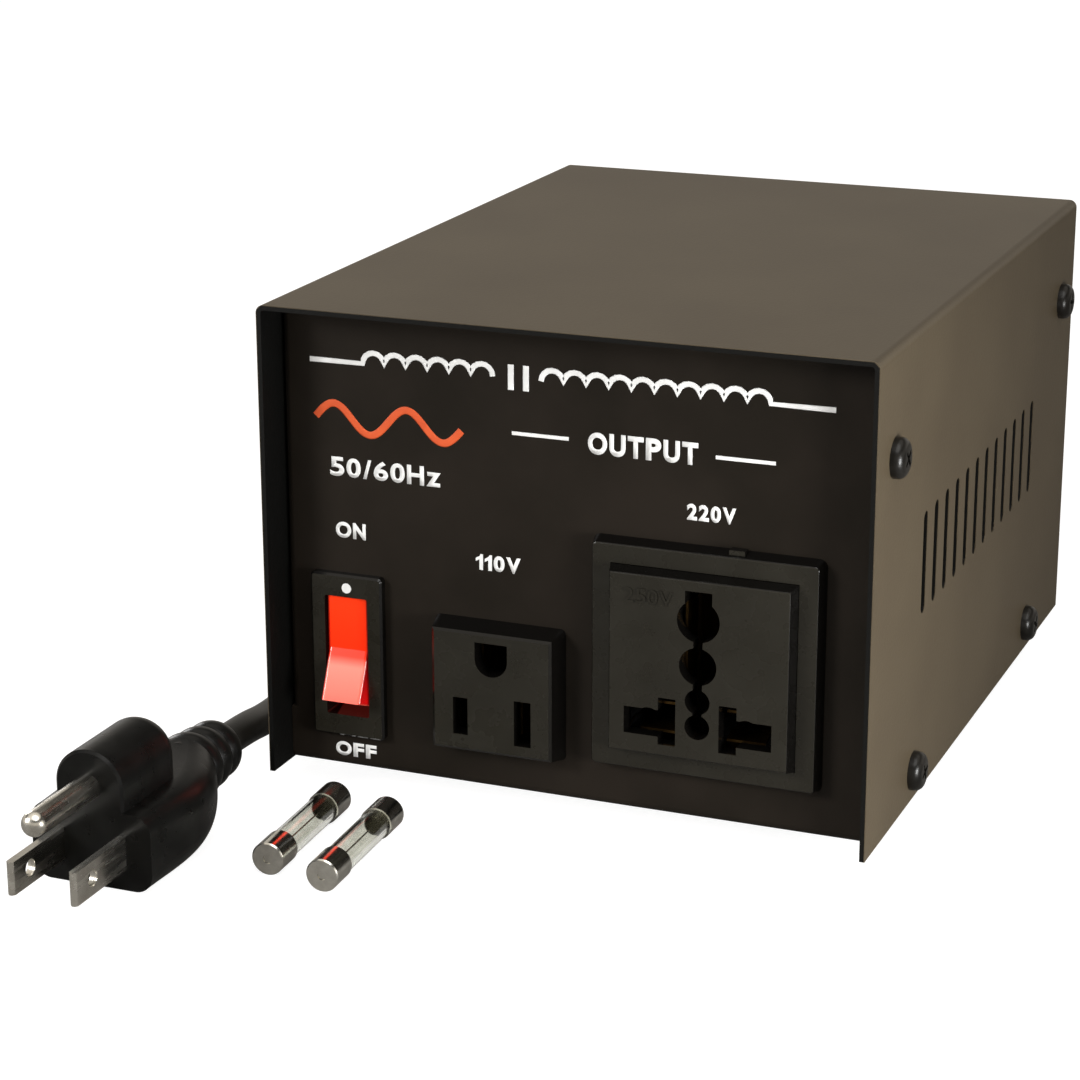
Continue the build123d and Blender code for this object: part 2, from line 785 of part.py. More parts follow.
# Bobbin: a square tube on the middle leg, with a flange at each end
bobbin_low = core_base + yoke + winding_height_room / 2
bobbin_high = bobbin_low + window_height - winding_height_room
tube_room = 0.2
tube = (core_leg + 2 * tube_room, stack + 2 * tube_room)
flange_reach = window_width - 2 * tube_room - 0.1
with BuildPart() as bobbin:
    with BuildSketch(Plane.XY.offset(bobbin_low)):
        with Locations((0, transformer_y)):
            Rectangle(tube[0] + 2 * bobbin_wall, tube[1] + 2 * bobbin_wall)
    extrude(amount=bobbin_high - bobbin_low)
    with BuildSketch(Plane.XY.offset(bobbin_low), Plane.XY.offset(bobbin_high - bobbin_wall)):
        with Locations((0, transformer_y)):
            RectangleRounded(tube[0] + 2 * flange_reach, tube[1] + 2 * flange_reach, 2.0)
    extrude(amount=bobbin_wall)
    with BuildSketch(Plane.XY.offset(bobbin_low)):
        with Locations((0, transformer_y)):
            Rectangle(*tube)
    extrude(amount=bobbin_high - bobbin_low, mode=Mode.SUBTRACT)
finish(bobbin, "bobbin")

# Windings and their tape: each one a sleeve over the one before
winding_low = bobbin_low + bobbin_wall
winding_high = bobbin_high - bobbin_wall
inner_reach = bobbin_wall
for sleeve_name, build in (
    ("inner_winding", primary_build),
    ("outer_winding", secondary_build),
    ("winding_tape", tape_build),
):
    outer_reach = inner_reach + build
    with BuildPart() as sleeve:
        with BuildSketch(Plane.XY.offset(winding_low)):
            with Locations((0, transformer_y)):
                RectangleRounded(
                    tube[0] + 2 * outer_reach, tube[1] + 2 * outer_reach, outer_reach - bobbin_wall + 0.1
                )
                if inner_reach == bobbin_wall:
                    Rectangle(
                        tube[0] + 2 * inner_reach, tube[1] + 2 * inner_reach, mode=Mode.SUBTRACT
                    )
                else:
                    RectangleRounded(
                        tube[0] + 2 * inner_reach,
                        tube[1] + 2 * inner_reach,
                        inner_reach - bobbin_wall + 0.1,
                        mode=Mode.SUBTRACT,
                    )
        extrude(amount=winding_high - winding_low)
    finish(sleeve, sleeve_name)
    inner_reach = outer_reach

# Strap: a steel band over the core, with a foot on each side
strap_section = channel_section(
    lamination_width + 2 * strap_thickness, lamination_height + strap_thickness, strap_thickness, strap_bend
)
core_top = core_base + lamination_height
with BuildPart() as core_strap:
    with BuildSketch(Plane.XZ.offset(strap_width / 2 - transformer_y)):
        with Locations((0, core_top + strap_thickness)):
            add(strap_section, rotation=180)
        with Locations((0, core_base + strap_thickness / 2)):
            with GridLocations(lamination_width + strap_thickness * 2 + strap_foot, 1, 2, 1):
                Rectangle(strap_foot, strap_thickness)
    extrude(amount=-strap_width)
    with BuildSketch(Plane.XY.offset(core_base)):
        with Locations((0, transformer_y)):
            with GridLocations(2 * transformer_bolt_x, 1, 2, 1):
                Circle(transformer_bolt / 2 + screw_room)
    extrude(amount=strap_thickness, mode=Mode.SUBTRACT)
finish(core_strap, "core_strap")

# Transformer bolts, up through the chassis floor, and their nuts on the strap's feet
transformer_screw = pan_screw(bolt_head, bolt_head_height, transformer_bolt, transformer_bolt_length)
transformer_nut = hex_nut(bolt_nut_across, bolt_nut_height, transformer_bolt + 0.02)
with BuildPart() as transformer_bolts:
    with Locations(
        Location((-transformer_bolt_x, transformer_y, floor_z), (180, 0, 0)),
        Location((transformer_bolt_x, transformer_y, floor_z), (180, 0, 0)),
    ):
        add(transformer_screw)
finish(transformer_bolts, "transformer_bolts")
with BuildPart() as transformer_nuts:
    with Locations((0, transformer_y, core_base + strap_thickness)):
        with GridLocations(2 * transformer_bolt_x, 1, 2, 1):
            add(transformer_nut)
finish(transformer_nuts, "transformer_nuts")

# Earth bolt on the chassis floor, with its nut and a ring terminal
with BuildPart() as earth_bolt:
    with Locations(Location((*earth_place, floor_z), (180, 0, 0))):
        add(transformer_screw)
finish(earth_bolt, "earth_bolt")
with BuildPart() as earth_lug:
    with BuildSketch(Plane.XY.offset(core_base)):
        with Locations(earth_place):
            Circle(lug_ring / 2)
        with Locations((earth_place[0], earth_place[1] - 2.0 - lug_tongue[1] / 2)):
            Rectangle(*lug_tongue)
        with Locations(earth_place):
            Circle(transformer_bolt / 2 + screw_room, mode=Mode.SUBTRACT)
    extrude(amount=lug_thickness)
finish(earth_lug, "earth_lug")
with BuildPart() as earth_nut:
    with Locations((*earth_place, core_base + lug_thickness)):
        add(transformer_nut)
finish(earth_nut, "earth_nut")


standing = (Align.CENTER, Align.CENTER, Align.MIN)

# Fuse: a glass tube with a metal cap on each end and a wire between them, along Y
with BuildPart() as glass_tube:
    with BuildSketch(Plane.XZ.offset(fuse_length / 2 - fuse_cap_end)):
        Circle(fuse_diameter / 2 - fuse_cap_wall)
        Circle(fuse_diameter / 2 - fuse_cap_wall - fuse_glass_wall, mode=Mode.SUBTRACT)
    extrude(amount=2 * fuse_cap_end - fuse_length)
with BuildPart() as end_caps:
    with BuildSketch(Plane.XZ.offset(fuse_length / 2)):
        Circle(fuse_diameter / 2)
    extrude(amount=-fuse_cap_length)
    chamfer(end_caps.faces().sort_by(Axis.Y)[0].edges(), 0.25)
    with BuildSketch(Plane.XZ.offset(fuse_length / 2 - fuse_cap_end)):
        Circle(fuse_diameter / 2 - fuse_cap_wall)
    extrude(amount=-fuse_cap_length, mode=Mode.SUBTRACT)
    with BuildSketch(Plane.XZ.offset(fuse_length / 2)):
        Circle(0.9)
    extrude(amount=-fuse_cap_end / 2, mode=Mode.SUBTRACT)
    mirror(about=Plane.XZ)
with BuildPart() as fuse_wire_part:
    with BuildSketch(Plane.XZ.offset(fuse_length / 2 - fuse_cap_end)):
        Circle(fuse_wire / 2)
    extrude(amount=2 * fuse_cap_end - fuse_length)

holder_end_y = rear_y - holder_depth
fuse_inner_y = holder_end_y + 5.0
fuse_places = (
    ("fuse", Location((holder_x, fuse_inner_y + fuse_length / 2, holder_z))),
    *(
        (
            f"spare_fuse_{number}",
            Location(
                (left_wall + inset, -case_depth / 2 - before, fuse_diameter / 2), (0, 0, spare_turn)
            ),
        )
        for number, (inset, before) in enumerate(spare_places, 1)
    ),
)
for fuse_name, fuse_place in fuse_places:
    for piece, source in (("glass", glass_tube), ("end_caps", end_caps), ("wire", fuse_wire_part)):
        with BuildPart() as fuse_piece:
            with Locations(fuse_place):
                add(source.part)
        finish(fuse_piece, f"{fuse_name}_{piece}")

# Fuse holder: a barrel through the rear panel with a flange outside
fuse_outer_y = fuse_inner_y + fuse_length
holder_mouth_y = rear_y + holder_flange_height
sleeve_inner_y = holder_mouth_y - fuse_sleeve_depth
end_contact_thickness = 0.6
side_contact = (4.0, 0.5, 12.0)
side_contact_y = sleeve_inner_y - 6.0
holder_axis = Plane((holder_x, 0, holder_z), x_dir=(1, 0, 0), z_dir=(0, 1, 0))
with BuildPart() as holder_body:
    with Locations(holder_axis.offset(holder_end_y)):
        Cylinder(holder_barrel / 2, holder_depth, align=standing)
    with Locations(holder_axis.offset(rear_y)):
        Cylinder(holder_flange / 2, holder_flange_height, align=standing)
    fillet(holder_body.faces().sort_by(Axis.Y)[-1].edges(), 0.6)
    with Locations(holder_axis.offset(sleeve_inner_y - 0.3)):
        Cylinder(holder_bore / 2, holder_depth, align=standing, mode=Mode.SUBTRACT)
    with Locations(holder_axis.offset(fuse_inner_y - end_contact_thickness)):
        Cylinder(holder_inner_bore / 2, holder_depth, align=standing, mode=Mode.SUBTRACT)
    with BuildSketch(holder_axis.offset(holder_end_y)):
        Rectangle(tab_width + 0.1, tab_thickness + 0.1)
    extrude(amount=5, mode=Mode.SUBTRACT)
    with BuildSketch(Plane.XY.offset(holder_z - holder_barrel)):
        with Locations((holder_x, side_contact_y)):
            Rectangle(side_contact[0] + 0.1, side_contact[1] + 0.1)
    extrude(amount=holder_barrel, mode=Mode.SUBTRACT)
finish(holder_body, "fuse_holder_body")

with BuildPart() as holder_nut:
    with BuildSketch(holder_axis.offset(rear_y - sheet - holder_nut_height)):
        RegularPolygon(holder_nut_across / 2, 6, major_radius=False)
        Circle(holder_barrel / 2 + 0.01, mode=Mode.SUBTRACT)
    extrude(amount=holder_nut_height)
finish(holder_nut, "fuse_holder_nut")

# Contacts of the fuse holder: a disc at the bore's end and a strip from the side
with BuildPart() as holder_contacts:
    with Locations(holder_axis.offset(fuse_inner_y - end_contact_thickness)):
        Cylinder(holder_inner_bore / 2, end_contact_thickness, align=standing)
    with BuildSketch(holder_axis.offset(holder_end_y - tail_length)):
        Rectangle(tab_width, tab_thickness)
    extrude(amount=tail_length + 5 - end_contact_thickness)
    with BuildSketch(Plane.XY.offset(holder_z - holder_inner_bore / 2 - side_contact[2])):
        with Locations((holder_x, side_contact_y)):
            Rectangle(side_contact[0], side_contact[1])
    extrude(amount=side_contact[2])
finish(holder_contacts, "fuse_holder_contacts")

# Fuse cap: a knob with a coin slot, and a sleeve that grips the fuse's outer end
with BuildPart() as fuse_cap:
    with Locations(holder_axis.offset(holder_mouth_y)):
        Cylinder(fuse_cap_knob / 2, fuse_cap_height, align=standing)
    chamfer(fuse_cap.faces().sort_by(Axis.Y)[-1].edges(), 1.0)
    with Locations(holder_axis.offset(sleeve_inner_y)):
        Cylinder(fuse_sleeve / 2, fuse_sleeve_depth, align=standing)
        Cylinder(
            fuse_diameter / 2 + slip / 2,
            fuse_outer_y - sleeve_inner_y,
            align=standing,
            mode=Mode.SUBTRACT,
        )
    with BuildSketch(holder_axis.offset(holder_mouth_y + fuse_cap_height - 1.8)):
        Rectangle(fuse_cap_knob, 1.8)
    extrude(amount=2, mode=Mode.SUBTRACT)
    with BuildSketch(holder_axis.offset(holder_mouth_y + 1.2)):
        with PolarLocations(fuse_cap_knob / 2 + 0.5, 16):
            Circle(0.9)
    extrude(amount=fuse_cap_height, mode=Mode.SUBTRACT)
finish(fuse_cap, "fuse_cap")

# Voltage selector: a steel plate behind the rear panel, a box of contacts, a slider
plate_outer_y = rear_y - sheet
plate_inner_y = plate_outer_y - selector_plate_thickness
selector_axis = Plane((selector_x, 0, selector_z), x_dir=(-1, 0, 0), z_dir=(0, 1, 0))
with BuildPart() as selector_plate_part:
    with BuildSketch(selector_axis.offset(plate_inner_y)):
        RectangleRounded(*selector_plate, 1.5)
        Rectangle(*selector_window, mode=Mode.SUBTRACT)
        with GridLocations(selector_screw_pitch, 1, 2, 1):
            Circle(selector_screw / 2 + 0.01, mode=Mode.SUBTRACT)
    extrude(amount=selector_plate_thickness)
finish(selector_plate_part, "selector_plate")

selector_cavity = (selector_body[0] - 2 * selector_wall, selector_body[1] - 2 * selector_wall)
slider_base = (selector_knob[0] + 3.0, selector_cavity[1] - 0.3, 2.0)
tab_grid = (6.0, 4.6, 3, 2)
selector_tab = (2.8, 0.8)
selector_tab_seat = 3.0
selector_tab_length = 8.0
with BuildPart() as selector_housing:
    with BuildSketch(selector_axis.offset(plate_inner_y - selector_depth)):
        Rectangle(*selector_body)
    extrude(amount=selector_depth)
    with BuildSketch(selector_axis.offset(plate_inner_y - slider_base[2] - 0.2)):
        Rectangle(*selector_cavity)
    extrude(amount=slider_base[2] + 0.2, mode=Mode.SUBTRACT)
    with BuildSketch(selector_axis.offset(plate_inner_y - selector_depth)):
        with GridLocations(*tab_grid):
            Rectangle(selector_tab[0] + slip, selector_tab[1] + slip)
    extrude(amount=selector_tab_seat, mode=Mode.SUBTRACT)
finish(selector_housing, "selector_housing")

slider_x = (selector_window[0] - selector_knob[0] - 2 * 0.2) / 2
with BuildPart() as selector_slider:
    with BuildSketch(selector_axis.offset(plate_inner_y - slider_base[2] - 0.1)):
        with Locations((slider_x, 0)):
            Rectangle(slider_base[0], slider_base[1])
    extrude(amount=slider_base[2])
    with BuildSketch(selector_axis.offset(plate_inner_y - 0.1)):
        with Locations((slider_x, 0)):
            Rectangle(*selector_knob)
    extrude(amount=sheet + selector_plate_thickness - 0.2)
    with BuildSketch(selector_axis.offset(rear_y - 0.3)):
        with Locations((slider_x, 0)):
            Rectangle(1.2, selector_knob[1])
    extrude(amount=-0.9, mode=Mode.SUBTRACT)
finish(selector_slider, "selector_slider")

with BuildPart() as selector_tabs:
    with BuildSketch(selector_axis.offset(plate_inner_y - selector_depth + selector_tab_seat)):
        with GridLocations(*tab_grid):
            Rectangle(*selector_tab)
    extrude(amount=-selector_tab_length)
finish(selector_tabs, "selector_tabs")

selector_screw_part = pan_screw(selector_screw_head, 1.6, selector_screw, 4.0)
with BuildPart() as selector_screws:
    with Locations(
        Plane((selector_x - selector_screw_pitch / 2, rear_y, selector_z), z_dir=(0, 1, 0)),
        Plane((selector_x + selector_screw_pitch / 2, rear_y, selector_z), z_dir=(0, 1, 0)),
    ):
        add(selector_screw_part)
finish(selector_screws, "selector_screws")

# Cord bushing: a flange outside the rear panel, a barbed neck through it, and a
# ringed tail that keeps the cord from bending sharply
cord_radius = cord_diameter / 2
bushing_outer_y = rear_y + bushing_flange_height
bushing_end_y = bushing_outer_y + bushing_tail
barb = (12.6, 10.4, 8.0)
ring_depth = 0.8


def ringed_edge(start, end, count):
    """Draws rounded rings side by side along a profile's edge."""
    step = (Vector(*end) - Vector(*start)) / count
    for ring in range(count):
        root = Vector(*start) + step * ring
        ThreePointArc(root, root + step / 2 + Vector(0, ring_depth), root + step)


with BuildPart() as cord_bushing:
    with BuildSketch(Plane.YZ.offset(bushing_x)):
        with BuildLine():
            Polyline(
                (plate_outer_y - barb[2], bushing_z),
                (plate_outer_y - barb[2], bushing_z + barb[1] / 2),
                (plate_outer_y, bushing_z + barb[0] / 2),
                (plate_outer_y, bushing_z + bushing_neck / 2),
                (rear_y, bushing_z + bushing_neck / 2),
                (rear_y, bushing_z + bushing_flange / 2),
                (bushing_outer_y, bushing_z + bushing_flange / 2),
                (bushing_outer_y, bushing_z + bushing_neck / 2),
            )
            ringed_edge(
                (bushing_outer_y, bushing_z + bushing_neck / 2),
                (bushing_end_y, bushing_z + bushing_tip / 2),
                bushing_rings,
            )
            Polyline(
                (bushing_end_y, bushing_z + bushing_tip / 2),
                (bushing_end_y, bushing_z),
                (plate_outer_y - barb[2], bushing_z),
            )
        make_face()
    revolve(axis=Axis((bushing_x, 0, bushing_z), (0, 1, 0)))
    with BuildSketch(Plane.XZ):
        with Locations((bushing_x, bushing_z)):
            Circle(cord_radius + bushing_room)
    extrude(amount=-2 * bushing_end_y, mode=Mode.SUBTRACT)
finish(cord_bushing, "cord_bushing")

# Coil: one tube in two flat layers, in from the upper left, down at the middle and
# out again below. Turns run clockwise seen from above
lower_z = cord_radius + 0.05
middle_turn = coil_turns / 2
inner_radius = coil_outer - coil_growth


def coil_state(turn):
    """The coil's place and unit direction after so many turns from its start."""
    away = turn - middle_turn
    radius = inner_radius + coil_pitch * abs(away)
    growth = math.copysign(coil_pitch, away)
    share = min(max(away / drop_turns + 0.5, 0), 1)
    height = lower_z + coil_layer * (1 - share**2 * (3 - 2 * share))
    fall = -coil_layer * 6 * share * (1 - share) / drop_turns
    angle = math.pi - 2 * math.pi * turn
    outwards = Vector(math.cos(angle), math.sin(angle), 0)
    along = Vector(math.sin(angle), -math.cos(angle), 0)
    if turn in (0, coil_turns):
        growth = 0
    speed = along * (2 * math.pi * radius) + outwards * growth + Vector(0, 0, fall)
    return Vector(coil_x, coil_y, height) + outwards * radius, speed.normalized()


def biarc(start, start_way, end, end_way):
    """Two arcs that leave the start and reach the end in the given directions."""
    span = end - start
    ways = start_way + end_way
    bend = 2 * (start_way.dot(end_way) - 1)
    pull = span.dot(ways)
    reach = (pull - math.sqrt(pull**2 - bend * span.dot(span))) / bend
    first = start + start_way * reach
    last = end - end_way * reach
    joint = (first + last) * 0.5
    TangentArc(start, joint, tangent=start_way)
    TangentArc(joint, end, tangent=(last - first).normalized())


# The coil's ends lie a quarter of a turn off a whole number of half turns
half_turns = round(2 * coil_turns - 0.5)
coil_nodes = [coil_state(0), *(coil_state(0.25 + step / 2) for step in range(half_turns + 1))]
coil_in, coil_in_way = coil_nodes[0]
coil_out, coil_out_way = coil_nodes[-1]
with BuildPart() as cord_coil:
    with BuildLine() as coil_path:
        Line(coil_in - coil_in_way * cord_diameter, coil_in)
        for (start, start_way), (end, end_way) in zip(coil_nodes, coil_nodes[1:]):
            biarc(start, start_way, end, end_way)
        Line(coil_out, coil_out + coil_out_way * cord_diameter)
    with BuildSketch(Plane(coil_in - coil_in_way * cord_diameter, z_dir=coil_in_way)):
        Circle(cord_radius)
    sweep(path=coil_path.wire())
finish(cord_coil, "power_cord_coil")

coil_length = coil_path.wire().length
sample_count = 900
samples = [coil_path.wire() @ (i / sample_count) for i in range(sample_count + 1)]
near = round(2.5 * cord_diameter / (coil_length / sample_count))
least = min(
    (samples[i] - samples[j]).length
    for i in range(sample_count + 1)
    for j in range(i + near, sample_count + 1)
)
coil_fill = cord_coil.part.volume / (math.pi * cord_radius**2 * coil_length)
print("coil: length", round(coil_length, 1), "least gap to itself", round(least - cord_diameter, 2))
print("coil: volume over section times length", round(coil_fill, 4))


def cord_run(name, points):
    """A free stretch of the cord through some points, rounded as widely as they allow."""
    corners = [Vector(*p) for p in points]
    radii = []
    for before, here, after in zip(corners, corners[1:], corners[2:]):
        turn = math.radians((here - before).get_angle(after - here))
        shorter = min((here - before).length, (after - here).length)
        radii.append(0.45 * shorter / math.tan(turn / 2))
    runs = [(b - a).length for a, b in zip(corners, corners[1:])]
    with BuildPart() as run:
        with BuildLine() as path:
            FilletPolyline(*corners, radius=radii)
        with BuildSketch(Plane(corners[0], z_dir=corners[1] - corners[0])):
            Circle(cord_radius)
        sweep(path=path.wire())
    finish(run, name)
    length = path.wire().length
    fill = run.part.volume / (math.pi * cord_radius**2 * length)
    print(name, "runs", [round(r, 1) for r in runs], "radii", [round(r, 1) for r in radii])
    print(name, "length", round(length, 1), "volume over section times length", round(fill, 4))


# Cord from inside the bushing down to the coil
upper_z = lower_z + coil_layer
tail_start = 12.0
tail_straight = 9.5
tail_landing = 18.0
tail_points = (
    (bushing_x, bushing_end_y - tail_start, bushing_z),
    (bushing_x, bushing_end_y + tail_straight, bushing_z),
    (bushing_x, coil_y - tail_landing, upper_z),
    (bushing_x, coil_y - cord_diameter, upper_z),
)
cord_run("power_cord_tail", tail_points)

# Cord from the coil, round the rear left corner and along the left side to the plug.
# Its places are chosen by hand, outside the left wall and from the case's ends
relief_y = plug_face_y + plug_length
relief_end_y = relief_y + plug_relief_length
lead_points = (
    (coil_x - cord_diameter, lead_y, lower_z),
    (left_wall + 34.0, lead_y, lower_z),
    (left_wall + 16.4, lead_y - 2.1, lower_z),
    (left_wall + 0.8, lead_y - 7.8, lower_z),
    (left_wall - 11.6, lead_y - 17.0, lower_z),
    (left_wall - 19.6, lead_y - 29.8, lower_z),
    (left_wall - 23.3, case_depth / 2 - 28.8, lower_z),
    (left_wall - 22.3, case_depth / 2 - 64.0, lower_z),
    (left_wall - 17.0, 52.0 - case_depth / 2, lower_z),
    (left_wall - 15.6, 29.5 - case_depth / 2, lower_z),
    (plug_x, relief_end_y + 9.5, plug_cord_z),
    (plug_x, relief_end_y - plug_cord_seat, plug_cord_z),
)
cord_run("power_cord_lead", lead_points)

# Plug: a moulded grip that lies on its flat side, with a round hump along its top
# that holds the round pin, and a ringed relief where the cord enters
plug_pin_z = plug_blade_line + earth_rise


def plug_plane(back):
    """A plane across the plug, this far behind its face. X is X and Y is Z."""
    return Plane((plug_x, plug_face_y + back, 0), x_dir=(1, 0, 0), z_dir=(0, -1, 0))


# Along the grip: distance behind the face, width, lowest and highest point, corner
plug_low = 0.12
plug_grip = (
    (0, plug_width - 1.4, 0.3, plug_height - 0.2, 3.6),
    (0.28 * plug_length, plug_width, plug_low, plug_height, 4.6),
    (0.6 * plug_length, plug_width - 0.8, plug_low, plug_height, 5.6),
    (0.82 * plug_length, plug_width - 5.4, 0.9, plug_height + 0.1, 6.0),
    (plug_length, plug_relief_start + 1.2, plug_cord_z - 6.4, plug_cord_z + 6.4, 5.8),
)
hump_web = 6.0
hump_round = 4.6
hump_edge = 0.5
with BuildPart() as plug_hump_part:
    with BuildSketch(plug_plane(0)):
        with Locations((0, plug_pin_z)):
            Circle(plug_hump / 2)
        with Locations((0, (plug_pin_z + hump_web) / 2)):
            Rectangle(plug_hump, plug_pin_z - hump_web)
    extrude(amount=-plug_hump_length)
    hump_rear = plug_hump_part.faces().sort_by(Axis.Y)[-1]
    fillet(hump_rear.edges().sort_by(Axis.Z)[1:], hump_round)
    hump_front = plug_hump_part.faces().sort_by(Axis.Y)[0]
    chamfer(hump_front.edges().sort_by(Axis.Z)[1:], hump_edge)
with BuildPart() as plug_body:
    for back, width, low, high, corner in plug_grip:
        with BuildSketch(plug_plane(back)):
            with Locations((0, (low + high) / 2)):
                RectangleRounded(width, high - low, corner)
    loft()
    add(plug_hump_part.part)
    with BuildSketch(Plane.YZ.offset(plug_x)):
        with BuildLine():
            Polyline(
                (relief_end_y, plug_cord_z + plug_relief_end / 2),
                (relief_end_y, plug_cord_z),
                (relief_y - 2.0, plug_cord_z),
                (relief_y - 2.0, plug_cord_z + plug_relief_start / 2),
                (relief_y, plug_cord_z + plug_relief_start / 2),
            )
            ringed_edge(
                (relief_y, plug_cord_z + plug_relief_start / 2),
                (relief_end_y, plug_cord_z + plug_relief_end / 2),
                plug_rings,
            )
        make_face()
    revolve(axis=Axis((plug_x, 0, plug_cord_z), (0, 1, 0)))
    with BuildSketch(plug_plane(relief_end_y - plug_face_y)):
        with Locations((0, plug_cord_z)):
            Circle(cord_radius + bushing_room)
    extrude(amount=plug_cord_seat, mode=Mode.SUBTRACT)
    with BuildSketch(plug_plane(0)):
        with Locations((0, plug_blade_line)):
            with GridLocations(blade_pitch, 1, 2, 1):
                Rectangle(plug_blade[1], plug_blade[0])
        with Locations((0, plug_pin_z)):
            Circle(plug_pin_root / 2)
    extrude(amount=-plug_seat, mode=Mode.SUBTRACT)
finish(plug_body, "plug_body")

with BuildPart() as plug_blades:
    with BuildSketch(plug_plane(-plug_blade[2])):
        with Locations((0, plug_blade_line)):
            with GridLocations(blade_pitch, 1, 2, 1):
                Rectangle(plug_blade[1], plug_blade[0])
    extrude(amount=-plug_blade[2] - plug_seat)
    chamfer(plug_blades.faces().sort_by(Axis.Y)[0:2].edges().filter_by(Axis.Z), 0.5)
    with BuildSketch(Plane.YZ.offset(plug_x)):
        with Locations((plug_face_y - plug_blade_hole[1], plug_blade_line)):
            Circle(plug_blade_hole[0] / 2)
    extrude(amount=plug_width, both=True, mode=Mode.SUBTRACT)
finish(plug_blades, "plug_blades")

with BuildPart() as plug_ground_pin:
    with BuildSketch(plug_plane(-plug_pin_length)):
        with Locations((0, plug_pin_z)):
            Circle(plug_pin_diameter / 2)
    extrude(amount=-plug_pin_length)
    fillet(plug_ground_pin.faces().sort_by(Axis.Y)[0].edges(), plug_pin_diameter / 2 - 0.2)
    with BuildSketch(plug_plane(0)):
        with Locations((0, plug_pin_z)):
            Circle(plug_pin_root / 2)
    extrude(amount=-plug_seat)
finish(plug_ground_pin, "plug_ground_pin")
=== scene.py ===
"""Looks of a bench voltage transformer, built on its CAD frame. Metres, Z up."""

import math

import bmesh
import bpy
from mathutils import Matrix, Vector


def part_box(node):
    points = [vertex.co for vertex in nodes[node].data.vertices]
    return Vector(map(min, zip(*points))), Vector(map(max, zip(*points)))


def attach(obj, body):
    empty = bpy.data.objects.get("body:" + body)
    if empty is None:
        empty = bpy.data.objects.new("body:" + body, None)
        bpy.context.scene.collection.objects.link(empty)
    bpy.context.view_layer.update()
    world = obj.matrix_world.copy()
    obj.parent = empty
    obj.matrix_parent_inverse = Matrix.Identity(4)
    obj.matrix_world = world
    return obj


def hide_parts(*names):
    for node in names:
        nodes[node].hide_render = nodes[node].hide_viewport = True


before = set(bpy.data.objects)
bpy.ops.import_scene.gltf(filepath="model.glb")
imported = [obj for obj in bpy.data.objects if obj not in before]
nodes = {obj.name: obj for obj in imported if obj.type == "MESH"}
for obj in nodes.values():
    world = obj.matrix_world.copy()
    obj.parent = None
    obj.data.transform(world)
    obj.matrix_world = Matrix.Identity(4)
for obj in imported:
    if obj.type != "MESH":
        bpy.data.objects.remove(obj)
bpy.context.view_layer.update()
MM = 0.001

# Camera at the photograph's viewing angle: in front of the case, above it and to its
# right, with a long lens
camera_place = Vector((190.65, -554.63, 220.87)) * MM
camera_right = Vector((0.9267, 0.3758, -0.0023))
camera_up = Vector((-0.1109, 0.2793, 0.9538))
camera_back = camera_right.cross(camera_up)
camera_data = bpy.data.cameras.new("camera")
camera_data.lens = 98.4
camera_data.sensor_width = 36.0
camera_data.clip_start = 0.01
camera = bpy.data.objects.new("camera", camera_data)
bpy.context.scene.collection.objects.link(camera)
camera_turn = Matrix((camera_right, camera_up, camera_back)).transposed().to_4x4()
camera.matrix_world = Matrix.Translation(camera_place) @ camera_turn
bpy.context.scene.camera = camera
bpy.context.scene.view_settings.view_transform = "Standard"

# Floor: one pale sheet laid under the object, as dull as paper. It is seen as white
# and keeps the object's soft shadow
floor_size = 6.0
floor_glow = 0.93


def colour(red, green, blue):
    """A colour given from 0 to 255 as the eye reads it, made linear for a shader."""
    parts = [c / 255 for c in (red, green, blue)]
    return [c / 12.92 if c < 0.04045 else ((c + 0.055) / 1.055) ** 2.4 for c in parts] + [1.0]


def new_finish(name, roughness, metallic=0.0, specular=0.5):
    """A material and its shader, with what is the same all over set on the shader."""
    finish = bpy.data.materials.new(name)
    finish.use_nodes = True
    shader = finish.node_tree.nodes["Principled BSDF"]
    shader.inputs["Roughness"].default_value = roughness
    shader.inputs["Metallic"].default_value = metallic
    shader.inputs["Specular IOR Level"].default_value = specular
    return finish, shader


def feed(finish, socket, value):
    """Joins another node's output to an input, or sets the input to a number or colour."""
    if isinstance(value, bpy.types.NodeSocket):
        finish.node_tree.links.new(value, socket)
    else:
        socket.default_value = value


def add_node(finish, kind, **inputs):
    """A shader node with its inputs fed by name, in which a low line stands for a space."""
    node = finish.node_tree.nodes.new(f"ShaderNode{kind}")
    for name, value in inputs.items():
        feed(finish, node.inputs[name.replace("_", " ")], value)
    return node


def reckon(finish, operation, first, second=0.0):
    """One step of arithmetic on two values, each a number or a node's output."""
    node = add_node(finish, "Math")
    node.operation = operation
    feed(finish, node.inputs[0], first)
    feed(finish, node.inputs[1], second)
    return node.outputs[0]


def either_ray(finish, first, second):
    """One where the ray is of one of these two kinds, and otherwise nought."""
    rays = add_node(finish, "LightPath")
    return reckon(finish, "MAXIMUM", rays.outputs[first], rays.outputs[second])


bpy.ops.object.select_all(action="DESELECT")
bpy.ops.mesh.primitive_plane_add(size=floor_size, location=(0, 0, 0))
floor = bpy.context.object
floor.name = "floor"
floor_paper, floor_shader = new_finish("white_paper", 0.9, specular=0.1)
floor_shader.inputs["Base Color"].default_value = colour(140, 138, 135)
floor_shader.inputs["Emission Color"].default_value = (1, 1, 1, 1)
floor_seen = either_ray(floor_paper, "Is Camera Ray", "Is Transmission Ray")
floor_strength = reckon(floor_paper, "MULTIPLY", floor_seen, floor_glow)
feed(floor_paper, floor_shader.inputs["Emission Strength"], floor_strength)
floor.data.materials.append(floor_paper)

